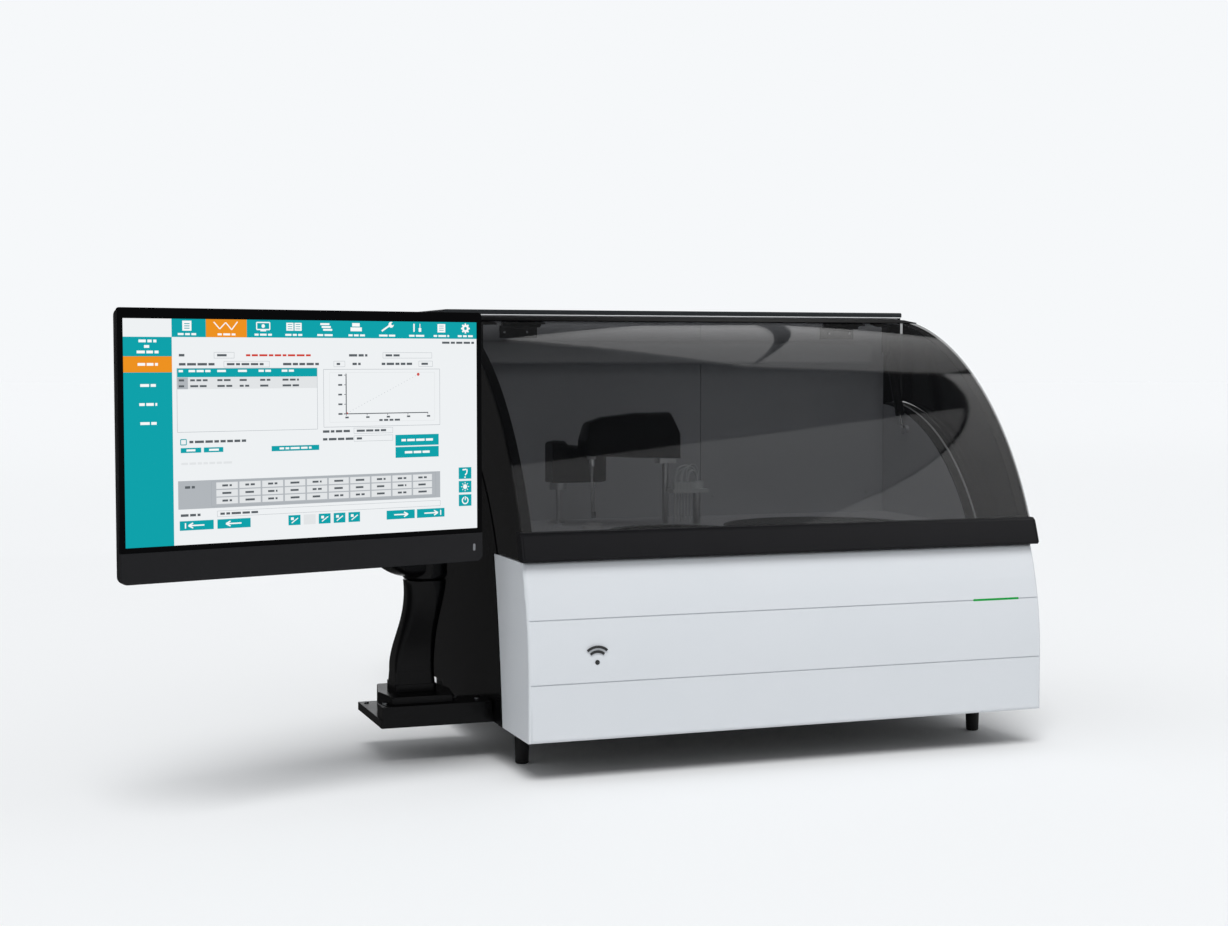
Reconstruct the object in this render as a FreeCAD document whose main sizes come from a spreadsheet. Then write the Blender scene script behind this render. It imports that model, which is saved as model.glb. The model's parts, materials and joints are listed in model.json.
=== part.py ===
# Benchtop clinical chemistry analyzer with an all-in-one monitor on a cast side bracket.
# Millimetres. Every size is laid out from the housing: x from its left side, y from its front face,
# z from the table. Each piece is then placed so that the frame's origin is under the middle of the whole.

import FreeCAD, Part
import math
import os

Vector = FreeCAD.Vector
Rotation = FreeCAD.Rotation
Placement = FreeCAD.Placement

doc = FreeCAD.newDocument("ChemistryAnalyzer")
sheet = doc.addObject("Spreadsheet::Sheet", "Sizes")

# Driving dimensions: name, value, what it is
driving = [
    # Frame
    ("origin_x", 136.5, "frame origin, from the housing's left side"),
    ("origin_y", 283.0, "frame origin, from the housing's front face"),
    # Housing
    ("body_width", 860, "outside width of the housing"),
    ("body_back", 690, "rear face"),
    ("base_height", 60, "underside above the table"),
    ("rear_step", 510, "where the underside steps up"),
    ("rear_rise", 12, "height of that step"),
    ("plate_top", 706, "top of the top plate"),
    ("plate_thick", 8, "top plate"),
    ("plate_front", 478, "front edge of the top plate"),
    ("plate_round", 2.5, "rounding of the top plate's edges"),
    ("frame_thick", 12, "height of the frame under the top plate"),
    ("frame_inset", 8, "how far that frame stands back"),
    ("foot_radius", 12, "foot at the top"),
    ("foot_tip_radius", 10.25, "foot at the table"),
    ("foot_side", 35, "foot axis from the side"),
    ("foot_front", 155, "front foot axis from the front"),
    ("foot_rear", 640, "rear foot axis from the front"),
    ("tray_thick", 3, "sheet of the base tray"),
    ("tray_wall", 40, "height of the tray's side walls"),
    # White front casing
    ("casing_wall", 4, "wall of the front casing"),
    ("casing_top", 323, "top edge of the white casing"),
    ("bulge_start", 150, "height where the front starts to lean back"),
    ("bulge_radius", 470, "radius of the leaning front"),
    ("return_depth", 141, "depth of the white side at the bottom"),
    ("return_mid", 157, "depth of the white side at middle height"),
    ("return_top", 184, "depth of the white side at the top"),
    ("edge_round", 6, "rounding of the casing's upright front edges"),
    ("seam_low", 146, "lower seam"),
    ("seam_high", 240, "upper seam"),
    ("seam_width", 1.8, "width of a seam"),
    ("seam_depth", 1.6, "depth of a seam"),
    ("light_inset", 120, "status light's left end, from the housing's right side"),
    ("light_length", 82, "status light, length"),
    ("light_height", 3.4, "status light, height"),
    ("light_depth", 3, "status light, depth behind the surface"),
    # Hood
    ("hood_radius", 539, "outside radius of the bent sheet"),
    ("hood_axis_y", 536, "centre of that radius, from the front"),
    ("hood_axis_z", 158, "centre of that radius, above the table"),
    ("sheet_thick", 4, "smoked sheet and side walls"),
    ("hood_back", 472, "rear edge of the sheet"),
    ("side_back", 470, "rear edge of the hood's side walls"),
    ("strip_width", 14, "bonding strip on the sheet's side edges"),
    ("rail_front", 425, "front edge of the black strip on the sheet"),
    ("rail_thick", 1.5, "thickness of that strip"),
    ("bond_gap", 0.2, "adhesive under the strips"),
    ("rail_taper", 22, "how much shorter its rear edge is at each end"),
    ("lip_bottom", 325, "underside of the lip bar"),
    ("lip_top", 367, "top of the lip bar"),
    ("lip_proud", 7, "how far the lip bar stands out of the sheet"),
    ("lip_thick", 20, "thickness of the lip bar"),
    ("lip_overhang", 4, "how far the lip bar passes the housing's side"),
    ("lip_groove", 22, "how deep the sheet sits in the lip bar"),
    ("lip_cap", 3, "end cap of the lip bar"),
    ("lip_edge", 4, "chamfer along the lip bar"),
    ("hinge_y", 468, "hood hinge axis, from the front"),
    ("hinge_drop", 6.661, "hood hinge axis, below the inside of the sheet"),
    ("flange_reach", 30, "how far a hinge flange reaches forward of its axis"),
    ("flange_thick", 3, "hinge flange and leaf"),
    ("leaf_drop", 24, "bottom of a hinge's leaf, below its axis"),
    ("web_thick", 5, "web between a hinge's barrel and its leaf"),
    ("barrel_radius", 6, "hinge barrel"),
    ("hinge_pin", 3, "hinge pin radius"),
    ("running_fit", 0.05, "radial clearance of what turns or slides"),
    ("hinge_inset", 130, "middle of each hinge from the housing's side"),
    ("barrel_length", 22, "length of one barrel"),
    ("barrel_gap", 0.4, "gap between barrels"),
    # Side panels and the sill that the hood closes on
    ("panel_thick", 4, "side panel"),
    ("sill_radius", 377, "radius of the panel's top edge"),
    ("sill_axis_y", 509, "centre of that radius, from the front"),
    ("sill_axis_z", 168, "centre of that radius, above the table"),
    ("panel_shoulder", 478, "where the panel rises behind the hood"),
    ("hood_gap", 3, "gap between the hood's side and the sill"),
    ("rim_width", 18, "raised rim of the side panel"),
    ("rim_proud", 1.5, "height of that rim"),
    ("hinge_room_y", 486, "front of the housing beside the hinges"),
    ("hinge_room_z", 660, "bottom of the room for the hinges"),
    ("lining_x", 30, "outer face of the work space's side lining"),
    ("lining_thick", 4, "side lining and sill"),
    ("trim_thick", 1.5, "bright strip on the sill"),
    ("trim_width", 3, "width of the bright strip"),
    ("trim_place", 16, "bright strip from the housing's side"),
    # Work space
    ("deck_top", 345, "top of the work deck"),
    ("deck_thick", 4, "work deck"),
    ("deck_front", 64, "front edge of the work deck"),
    ("wall_front", 486, "front face of the inner rear wall"),
    ("wall_thick", 3, "inner rear wall and rear cover"),
    ("wall_seam", 466, "joint between the two inner wall panels"),
    ("seam_gap", 1, "gap at that joint"),
    ("beam_drop", 53, "top of the cross beam, below the top plate"),
    ("beam_tall", 39, "height of the cross beam"),
    ("beam_depth", 16, "how far the beam stands out of the wall"),
    ("beam_end", 32, "beam's right end, from the lining"),
    ("bowl_wall", 3, "wall of the sunk bays"),
    ("reaction_x", 300, "reaction rotor axis"),
    ("reaction_y", 188, "reaction rotor axis"),
    ("reaction_radius", 105, "reaction rotor"),
    ("reaction_top", 350, "top of the reaction rotor's rim"),
    ("reaction_depth", 47, "depth of the reaction bay"),
    ("bay_gap", 6, "gap between a rotor and its bay"),
    ("cuvette_ring", 96, "radius of the ring of cuvettes"),
    ("cuvette_size", 5, "width of a cuvette"),
    ("cuvette_wall", 0.8, "wall of a cuvette"),
    ("cuvette_height", 28, "height of a cuvette"),
    ("cuvette_count", 36, "cuvettes in the ring"),
    ("tray_x", 590, "sample tray axis"),
    ("tray_y", 248, "sample tray axis"),
    ("tray_radius", 160, "sample tray"),
    ("tray_depth", 113, "depth of the tray bay"),
    ("bottle_ring", 131, "radius of the ring of bottles"),
    ("bottle_count", 14, "bottles in the ring"),
    ("bottle_wide", 38, "bottle, along the ring"),
    ("bottle_deep", 42, "bottle, across the ring"),
    ("bottle_tall", 58, "bottle, shoulder height"),
    ("tube_ring", 75, "radius of the ring of tubes"),
    ("tube_count", 16, "tubes in the ring"),
    ("tube_radius", 6.5, "sample tube"),
    ("tube_height", 76, "sample tube"),
    ("spindle_radius", 6, "spindle of both rotors"),
    # Sampling arm
    ("arm_x", 332, "sampling arm axis"),
    ("arm_y", 312, "sampling arm axis"),
    ("arm_reach", 129, "probe from that axis"),
    ("arm_shaft_radius", 5.5, "sampling arm shaft"),
    ("arm_bottom", 459, "underside of the arm cover"),
    ("arm_rise", 76, "height of the arm cover"),
    ("arm_width", 58, "width of the arm cover"),
    ("arm_overhang", 17, "cover past the shaft and past the probe"),
    ("ram_radius", 11, "guide tube of the arm's shaft, under the deck"),
    ("ram_length", 60, "guide tube"),
    ("probe_radius", 1.6, "sample probe"),
    ("probe_tip", 357, "tip of the probe above the table"),
    # Stirrer arm
    ("mixer_x", 165, "stirrer axis"),
    ("mixer_y", 374, "stirrer axis"),
    ("mixer_reach", 63, "paddle from that axis"),
    ("mixer_shaft_radius", 3.5, "stirrer shaft"),
    ("mixer_bottom", 418, "underside of the stirrer cover"),
    ("mixer_rise", 70, "height of the stirrer cover"),
    ("mixer_width", 46, "width of the stirrer cover"),
    ("mixer_overhang", 16, "cover past the shaft and the paddle"),
    ("mixer_travel", 20, "stirrer's lift above rest"),
    ("mixer_park", 75, "stirrer's turn to its wash well, degrees"),
    # Washing head
    ("wash_x", 377, "washing head post"),
    ("wash_y", 284, "washing head post"),
    ("wash_post_radius", 6.5, "washing head post"),
    ("wash_low", 403, "underside of the manifold"),
    ("wash_thick", 18, "height of the manifold"),
    ("wash_left", 327, "manifold's left end"),
    ("wash_tip", 356, "tips of the washing nozzles"),
    ("nozzle_radius", 1.2, "washing nozzle"),
    ("nozzle_count", 6, "washing nozzles"),
    ("well_radius", 15, "wash well, outside"),
    ("well_bore", 11, "wash well, inside"),
    ("well_depth", 42, "wash well"),
    ("well_rim", 350, "top of the wash well"),
    # Gas struts
    ("strut_offset", 10, "strut from the side lining"),
    ("strut_eye_y", 392, "lower eye"),
    ("strut_eye_z", 497, "lower eye"),
    ("strut_top_y", 446, "upper eye"),
    ("strut_drop", 45.375, "upper eye, below the inside of the sheet"),
    ("strut_radius", 8, "strut cylinder"),
    ("strut_rod_radius", 3, "strut rod"),
    ("strut_stud", 4, "stud radius"),
    ("strut_eye", 8, "radius of the eyes"),
    ("eye_thick", 6, "thickness of the eyes"),
    ("strut_bare", 28, "eye to cylinder when closed"),
    ("strut_head", 23, "cylinder's end to the upper eye"),
    ("rod_margin", 20, "rod's inner end to the cylinder's end when closed"),
    ("tab_below", 7, "hood bracket below the upper eye"),
    # Rear
    ("fan_x", 640, "fan axis"),
    ("fan_z", 560, "fan axis"),
    ("fan_radius", 46, "fan opening"),
    ("fan_blades", 7, "blades"),
    ("inlet_x", 120, "power inlet"),
    ("inlet_z", 140, "power inlet"),
    ("louvre_length", 90, "rear louvres"),
    ("louvre_height", 4, "rear louvres"),
    ("louvre_pitch", 12, "rear louvres"),
    ("louvre_count", 9, "rear louvres in a column"),
    # Monitor bracket
    ("bracket_left", -177, "left edge of the bracket plate"),
    ("bracket_front", 190, "front edge of the bracket plate"),
    ("bracket_back", 362, "rear edge of the bracket plate"),
    ("bracket_thick", 13, "bracket plate"),
    ("bracket_inner", 60, "how far the plate reaches under the housing"),
    ("ledge_depth", 40, "front block of the bracket"),
    ("ledge_height", 33, "front block of the bracket"),
    ("riser_left", -166, "riser block"),
    ("riser_right", -50, "riser block"),
    ("riser_front", 209, "riser block"),
    ("riser_back", 344, "riser block"),
    ("riser_waist", 58, "widest place of the riser, from its front"),
    ("riser_height", 44, "top of the riser above the plate's underside"),
    ("foot_x", -109, "middle of the column's foot"),
    ("column_wide", 66, "foot of the column, across"),
    ("column_deep", 64, "foot of the column, along"),
    ("column_foot", 12, "height of the column's foot"),
    ("foot_y", 278, "middle of the column's foot"),
    ("column_top", 283, "top of the cast column"),
    ("swivel_x", -100, "swing arm axis"),
    ("swivel_y", 226, "swing arm axis"),
    ("swivel_pin", 14, "column's swivel stub"),
    ("swivel_radius", 35, "swing arm hub"),
    ("swivel_height", 50, "swing arm hub"),
    ("swivel_gap", 0.3, "gap under the hub"),
    # Monitor
    ("screen_x", -326, "middle of the screen"),
    ("screen_y", -50, "middle of the screen"),
    ("screen_z", 527, "middle of the screen"),
    ("screen_yaw", 15.4, "turn of the monitor, degrees"),
    ("screen_width", 527, "lit screen, 24 inch class"),
    ("screen_height", 296.5, "lit screen"),
    ("bezel_side", 8, "bezel beside the screen"),
    ("bezel_top", 14, "bezel above the screen"),
    ("bezel_low", 7, "bezel below the screen"),
    ("chin_height", 41, "speaker bar"),
    ("chin_proud", 2, "speaker bar in front of the bezel"),
    ("bezel_thick", 4, "front frame"),
    ("screen_recess", 0.6, "screen behind the bezel's face"),
    ("case_depth", 22, "depth of the case at its edge"),
    ("hump_wide", 380, "electronics hump, width"),
    ("hump_tall", 230, "electronics hump, height"),
    ("slot_count", 12, "air slots above the hump"),
    ("slot_pitch", 22, "air slots above the hump"),
    ("port_recess", 240, "recess for the sockets, width"),
    ("hump_depth", 26, "depth of the hump behind the case"),
    ("corner_round", 10, "lower corners of the monitor"),
    ("vesa_pitch", 100, "hole spacing of the monitor mount"),
    ("vesa_plate", 120, "width of the mount plate"),
    ("vesa_thick", 4, "mount plate"),
    ("tilt_y", 78, "tilt axis behind the bezel's face"),
    ("tilt_z", -22, "tilt axis above the middle of the screen"),
    ("tilt_pin", 5, "tilt pin radius"),
    ("tilt_eye", 15, "tilt ear radius"),
    ("head_y", 112, "head swivel axis behind the bezel's face"),
    ("head_radius", 20, "head sleeve"),
    ("head_pin", 10, "head pin"),
    ("head_height", 46, "head sleeve"),
    ("arm_end_thick", 28, "end boss of the swing arm"),
    ("button_x", 257, "power button from the middle of the screen"),
    ("button_wide", 4, "power button"),
    ("button_tall", 10, "power button"),
    ("button_gap", 0.25, "gap round the power button"),
]

for row, (alias, value, note) in enumerate(driving, start=1):
    sheet.set(f"A{row}", note)
    sheet.set(f"B{row}", str(value))
    sheet.setAlias(f"B{row}", alias)
doc.recompute()


def size(alias):
    return float(sheet.get(alias))


W = size("body_width")
frame_place = Placement(Vector(-size("origin_x"), -size("origin_y"), 0), Rotation())


# Geometry helpers

def arc_y(axis_y, axis_z, radius, z):
    """y on the front half of a circle in the Y-Z plane, at height z."""
    return axis_y - math.sqrt(radius ** 2 - (z - axis_z) ** 2)


def arc_z(axis_y, axis_z, radius, y):
    """z on the upper half of a circle in the Y-Z plane, at depth y."""
    return axis_z + math.sqrt(radius ** 2 - (y - axis_y) ** 2)


def hood_y(radius, z):
    return arc_y(size("hood_axis_y"), size("hood_axis_z"), radius, z)


def hood_z(radius, y):
    return arc_z(size("hood_axis_y"), size("hood_axis_z"), radius, y)


def sill_y(radius, z):
    return arc_y(size("sill_axis_y"), size("sill_axis_z"), radius, z)


def sill_z(radius, y):
    return arc_z(size("sill_axis_y"), size("sill_axis_z"), radius, y)


def hood_arc(radius, start, end):
    """Three points of an arc about the hood's axis, from height start to height end."""
    middle = (start + end) / 2
    return (hood_y(radius, start), start), (hood_y(radius, middle), middle), (hood_y(radius, end), end)


def outline(*steps):
    """Closed outline. A pair is a corner; a pair in a list is a point that an arc passes on its way."""
    corners = list(steps) + [steps[0]]
    edges, last, via = [], corners[0], None
    for step in corners[1:]:
        if isinstance(step, list):
            via = step[0]
            continue
        start, end = Vector(last[0], last[1], 0), Vector(step[0], step[1], 0)
        if via:
            edges.append(Part.Arc(start, Vector(via[0], via[1], 0), end))
        else:
            edges.append(Part.LineSegment(start, end))
        last, via = step, None
    return edges


def circle(x, y, radius):
    return [Part.Circle(Vector(x, y, 0), Vector(0, 0, 1), radius)]


def rectangle(x, y, width, depth):
    return outline((x, y), (x + width, y), (x + width, y + depth), (x, y + depth))


def rounded(x, y, width, depth, radius):
    """Rectangle with its lower left corner at x, y and all corners rounded."""
    cut = radius * (1 - math.sqrt(0.5))
    right, top = x + width, y + depth
    return outline((x + radius, y), (right - radius, y), [(right - cut, y + cut)], (right, y + radius),
                   (right, top - radius), [(right - cut, top - cut)], (right - radius, top),
                   (x + radius, top), [(x + cut, top - cut)], (x, top - radius),
                   (x, y + radius), [(x + cut, y + cut)])


# PartDesign helpers: a body, a sketch on one of its own planes, and the features made from it

def new_body(label, place=None):
    body = doc.addObject("PartDesign::Body", label)
    body.Label = label
    body.Placement = place or frame_place
    return body


def sketch_on(body, name, role, offset, *loops):
    sketch = body.newObject("Sketcher::SketchObject", f"{body.Label}_{name}")
    plane = next(feature for feature in body.Origin.OriginFeatures if feature.Role == role)
    sketch.AttachmentSupport = (plane, [""])
    sketch.MapMode = "FlatFace"
    sketch.AttachmentOffset = Placement(Vector(0, 0, offset), Rotation())
    for loop in loops:
        sketch.addGeometry(loop, False)
    return sketch


def pad(body, sketch, length, reverse=False):
    feature = body.newObject("PartDesign::Pad", f"{sketch.Label}_pad")
    feature.Profile = sketch
    feature.setExpression("Length", length)
    feature.Reversed = reverse
    return feature


def pocket(body, sketch, length, reverse=False):
    """Pocket against the sketch's normal, or along it when reversed; stops if it cuts nothing."""
    doc.recompute()
    before = body.Shape.Volume
    feature = body.newObject("PartDesign::Pocket", f"{sketch.Label}_pocket")
    feature.Profile = sketch
    feature.setExpression("Length", length)
    feature.Reversed = reverse
    doc.recompute()
    if body.Shape.Volume > before - 1e-3:
        raise RuntimeError(f"{feature.Label} cuts nothing")
    return feature


def revolve(body, sketch, axis="V_Axis"):
    feature = body.newObject("PartDesign::Revolution", f"{sketch.Label}_turned")
    feature.Profile = sketch
    feature.ReferenceAxis = (sketch, [axis])
    feature.Angle = 360
    return feature


def edges_near(shape, test):
    """Names of the edges whose two ends both pass the test."""
    names = []
    for index, edge in enumerate(shape.Edges, start=1):
        if all(test(vertex.Point) for vertex in edge.Vertexes):
            names.append(f"Edge{index}")
    return names


def dress(body, kind, base, test, amount):
    """Fillet or chamfer on the edges of the base that pass the test."""
    doc.recompute()
    feature = body.newObject(f"PartDesign::{kind}", f"{base.Label}_{kind.lower()}")
    feature.Base = (base, edges_near(base.Shape, test))
    feature.setExpression("Radius" if kind == "Fillet" else "Size", amount)
    return feature


def polar(body, feature, count):
    """Repeat a feature about the body's own upright axis."""
    pattern = body.newObject("PartDesign::PolarPattern", f"{feature.Label}_ring")
    pattern.Originals = [feature]
    upright = next(item for item in body.Origin.OriginFeatures if item.Role == "Z_Axis")
    pattern.Axis = (upright, [""])
    pattern.Angle = 360
    pattern.Occurrences = count
    body.Tip = pattern
    return pattern


# Part helpers

def block(x, y, z, width, depth, height):
    return Part.makeBox(width, depth, height, Vector(x, y, z))


def rod(x, y, z, radius, length, direction=Vector(0, 0, 1)):
    return Part.makeCylinder(radius, length, Vector(x, y, z), direction)


def solid(label, shape, place=None):
    """Sub-part whose shape is worked out above; it gets its placement after its shape."""
    feature = doc.addObject("Part::Feature", label)
    feature.Label = label
    feature.Shape = shape
    feature.Placement = place or frame_place
    return feature


def group(shapes):
    return Part.makeCompound(shapes)


def joined(shapes):
    whole = shapes[0].multiFuse(shapes[1:]) if len(shapes) > 1 else shapes[0]
    return whole.removeSplitter()


def prism(edges, x, width):
    """Solid between two upright planes: an outline in the Y-Z plane, stretched along x."""
    wire = Part.Wire([edge.toShape() for edge in edges])
    face = Part.Face(wire)
    face = face.transformGeometry(FreeCAD.Matrix(0, 0, 1, x, 1, 0, 0, 0, 0, 1, 0, 0, 0, 0, 0, 1))
    return face.extrude(Vector(width, 0, 0))


def mirrored(shape):
    """The same piece on the other side of the housing."""
    return shape.mirror(Vector(W / 2, 0, 0), Vector(1, 0, 0))


pieces = []


def keep(feature):
    pieces.append(feature)
    return feature


# Housing

def make_base_tray():
    thick, inset = size("tray_thick"), size("panel_thick") + 2
    low, high = size("base_height"), size("base_height") + size("rear_rise")
    front, step, back = size("casing_wall") + 2, size("rear_step"), size("body_back") - size("wall_thick") - 1
    sheet_line = outline((front, low), (step, low), (step, high), (back, high), (back, high + thick),
                         (step - thick, high + thick), (step - thick, low + thick),
                         (front + thick, low + thick), (front + thick, low + size("tray_wall")),
                         (front, low + size("tray_wall")))
    bottom = prism(sheet_line, inset, W - 2 * inset)
    side_line = outline((front, low), (step, low), (step, high), (back, high),
                        (back, low + size("tray_wall")), (front, low + size("tray_wall")))
    left = prism(side_line, inset, thick)
    # The bracket plate slides into a pocket that is folded up into the tray
    slot_front, slot_back = size("bracket_front") - 0.2, size("bracket_back") + 0.2
    slot_top = low + size("bracket_thick")
    hump = block(inset, slot_front - thick, low, size("bracket_inner") - inset + thick,
                 slot_back - slot_front + 2 * thick, size("bracket_thick") + thick)
    slot = block(inset - 1, slot_front, low - 1, size("bracket_inner") - inset + 1.2,
                 slot_back - slot_front, slot_top - low + 1)
    shape = joined([bottom, left, mirrored(left), hump]).cut(slot)
    return solid("base_tray", shape)


def make_feet():
    wide, narrow, rounding = size("foot_radius"), size("foot_tip_radius"), 1.5
    feet = []
    for y, top in ((size("foot_front"), size("base_height")),
                   (size("foot_rear"), size("base_height") + size("rear_rise"))):
        profile = outline((0, 0), (narrow - rounding, 0), (narrow, rounding), (wide, top - 4),
                          (wide + 4, top - 4), (wide + 4, top), (0, top))
        face = Part.Face(Part.Wire([edge.toShape() for edge in profile]))
        face.rotate(Vector(), Vector(1, 0, 0), 90)
        foot = face.revolve(Vector(), Vector(0, 0, 1), 360)
        for x in (size("foot_side"), W - size("foot_side")):
            placed = foot.copy()
            placed.translate(Vector(x, y, 0))
            feet.append(placed)
    return solid("feet", group(feet))


def casing_front(z, wall=0):
    """y of the white front at height z, or of its inner face with a wall."""
    start, radius = size("bulge_start"), size("bulge_radius")
    if z <= start:
        return wall
    return radius - math.sqrt((radius - wall) ** 2 - (z - start) ** 2)


def return_edge(z, shift=0):
    """y of the rear edge of the white side at height z: one arc through three measured depths."""
    low, top = size("base_height"), size("casing_top")
    middle = (low + top) / 2
    ring = Part.Arc(Vector(size("return_depth"), low, 0), Vector(size("return_mid"), middle, 0),
                    Vector(size("return_top"), top, 0)).toShape().Curve
    return ring.Center.x - math.sqrt(ring.Radius ** 2 - (z - ring.Center.y) ** 2) + shift


def make_front_casing():
    body = new_body("front_casing")
    low, top, start = size("base_height"), size("casing_top"), size("bulge_start")
    middle, wall = (start + top) / 2, size("casing_wall")
    outer = outline((0, low), (0, start), [(casing_front(middle), middle)], (casing_front(top), top),
                    (return_edge(top), top), [(return_edge((low + top) / 2), (low + top) / 2)],
                    (return_edge(low), low))
    shell = pad(body, sketch_on(body, "side", "YZ_Plane", 0, outer), "Sizes.body_width")
    dress(body, "Fillet", shell, lambda p: min(abs(p.x), abs(p.x - W)) < 0.01 and p.y < casing_front(top) + 0.01,
          "Sizes.edge_round")
    inner = outline((wall, low - 1), (wall, start), [(casing_front(middle, wall), middle)],
                    (casing_front(top - wall, wall), top - wall), (return_edge(top) + 9, top - wall),
                    (return_edge(top) + 9, low - 1))
    pocket(body, sketch_on(body, "hollow", "YZ_Plane", wall, inner),
           "Sizes.body_width - 2 * Sizes.casing_wall", True)
    ledge = size("lining_x") + size("lining_thick")
    pocket(body, sketch_on(body, "deck_opening", "XY_Plane", top + 1,
                           rectangle(ledge, size("deck_front") + 6, W - 2 * ledge, size("return_top"))),
           "Sizes.casing_wall + 3")
    for name, z in (("low_seam", size("seam_low")), ("high_seam", size("seam_high"))):
        groove = rectangle(-1, z - size("seam_width") / 2, casing_front(z) + 1 + size("seam_depth"),
                           size("seam_width"))
        pocket(body, sketch_on(body, name, "YZ_Plane", -1, groove), "Sizes.body_width + 2", True)
    z = size("seam_high")
    recess = rectangle(-1, z - size("light_height") / 2, casing_front(z) + 1 + size("light_depth"),
                       size("light_height"))
    pocket(body, sketch_on(body, "light_seat", "YZ_Plane", W - size("light_inset"), recess),
           "Sizes.light_length", True)
    return body


def make_status_light():
    body = new_body("status_light")
    z, half = size("seam_high"), size("light_height") / 2
    back = casing_front(z) + size("light_depth")
    bar = outline((casing_front(z - half) + 0.3, z - half), (back, z - half), (back, z + half),
                  (casing_front(z + half) + 0.3, z + half))
    pad(body, sketch_on(body, "section", "YZ_Plane", W - size("light_inset"), bar), "Sizes.light_length")
    return body


def panel_outline(grow=0.3):
    """Side panel in the Y-Z plane, standing grow behind the white casing."""
    low, top, radius = size("base_height"), size("casing_top") + grow, size("sill_radius")
    shoulder, roof = size("panel_shoulder"), size("plate_top") - size("plate_thick")
    back, high = size("body_back") - size("wall_thick") - 0.5, size("base_height") + size("rear_rise")
    middle = (low + top) / 2
    arc_mid = (sill_y(radius, 0.35 * top + 0.65 * sill_z(radius, shoulder)),
               0.35 * top + 0.65 * sill_z(radius, shoulder))
    return outline((return_edge(low, grow), low), [(return_edge(middle, grow), middle)],
                   (return_edge(top - grow, grow), top), (sill_y(radius, top), top), [arc_mid],
                   (shoulder, sill_z(radius, shoulder)), (shoulder, size("hinge_room_z")),
                   (size("hinge_room_y"), size("hinge_room_z")), (size("hinge_room_y"), roof),
                   (back, roof), (back, high), (size("rear_step"), high), (size("rear_step"), low))


def rim_outline(grow=0.3):
    """Raised band along the panel's front and curved top edge."""
    low, top, radius, band = size("base_height"), size("casing_top") + grow, size("sill_radius"), size("rim_width")
    shoulder, inner = size("panel_shoulder"), size("sill_radius") - size("rim_width")
    middle = (low + top) / 2
    join = top + 1.6 * band
    arc_mid = (sill_y(radius, 0.35 * top + 0.65 * sill_z(radius, shoulder)),
               0.35 * top + 0.65 * sill_z(radius, shoulder))
    back_mid = (sill_y(inner, 0.4 * join + 0.6 * sill_z(inner, shoulder)),
                0.4 * join + 0.6 * sill_z(inner, shoulder))
    return outline((return_edge(low, grow), low), [(return_edge(middle, grow), middle)],
                   (return_edge(top - grow, grow), top), (sill_y(radius, top), top), [arc_mid],
                   (shoulder, sill_z(radius, shoulder)), (shoulder, sill_z(inner, shoulder)), [back_mid],
                   (sill_y(inner, join), join), (return_edge(top - grow, grow + band), top),
                   [(return_edge(middle, grow + band), middle)], (return_edge(low, grow + band), low))


def make_side_panel(label, right):
    body = new_body(label)
    start = W - size("panel_thick") if right else 0
    pad(body, sketch_on(body, "outline", "YZ_Plane", start, panel_outline()), "Sizes.panel_thick")
    rim_start = W if right else -size("rim_proud")
    doc.recompute()
    pad(body, sketch_on(body, "rim", "YZ_Plane", rim_start, rim_outline()), "Sizes.rim_proud")
    if not right:
        notch = rectangle(size("bracket_front") - 0.2, size("base_height") - 1,
                          size("bracket_back") - size("bracket_front") + 0.4, size("bracket_thick") + 1.2)
        pocket(body, sketch_on(body, "bracket_notch", "YZ_Plane", -3, notch), "Sizes.panel_thick + 4", True)
    return body


def make_rear_cover():
    body = new_body("rear_cover")
    low, roof = size("base_height") + size("rear_rise") + size("tray_thick"), size("plate_top") - size("plate_thick")
    back = size("body_back")
    # The XZ plane's normal points to the front, so a sketch at -back faces the wall from behind
    pad(body, sketch_on(body, "sheet", "XZ_Plane", -back, rectangle(0, low, W, roof - low)), "Sizes.wall_thick")
    slots = []
    for x in (size("fan_x") - 3.6 * size("louvre_length"), size("fan_x") - 5 * size("louvre_length")):
        for index in range(int(size("louvre_count"))):
            z = size("fan_z") - size("louvre_pitch") * (index - size("louvre_count") / 2)
            slots.append(rectangle(x, z, size("louvre_length"), size("louvre_height")))
    pocket(body, sketch_on(body, "louvres", "XZ_Plane", -back - 1, *slots), "Sizes.wall_thick + 2", True)
    pocket(body, sketch_on(body, "fan_opening", "XZ_Plane", -back - 1,
                           circle(size("fan_x"), size("fan_z"), size("fan_radius"))), "Sizes.wall_thick + 2", True)
    pocket(body, sketch_on(body, "inlet_opening", "XZ_Plane", -back - 1,
                           rectangle(size("inlet_x") - 30, size("inlet_z") - 14, 60, 28)),
           "Sizes.wall_thick + 2", True)
    return body


def make_top_frame():
    roof, inset = size("plate_top") - size("plate_thick"), size("frame_inset")
    back = size("body_back") - size("wall_thick") - 0.5
    front = size("hinge_room_y") + size("wall_thick")
    outside = block(size("panel_thick"), front, roof - size("frame_thick"), W - 2 * size("panel_thick"),
                    back - front, size("frame_thick"))
    room = block(size("panel_thick") + 12, front + 12, roof - size("frame_thick") - 1,
                 W - 2 * size("panel_thick") - 24, back - front - 24, size("frame_thick") + 2)
    return solid("top_frame", outside.cut(room))


def make_top_plate():
    body = new_body("top_plate")
    plate = pad(body, sketch_on(body, "outline", "XY_Plane", size("plate_top") - size("plate_thick"),
                                rounded(0, size("plate_front"), W, size("body_back") - size("plate_front"), 5)),
                "Sizes.plate_thick")
    dress(body, "Fillet", plate, lambda p: p.z > size("plate_top") - 0.01, "Sizes.plate_round")
    return body


# Lining of the work space

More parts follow.
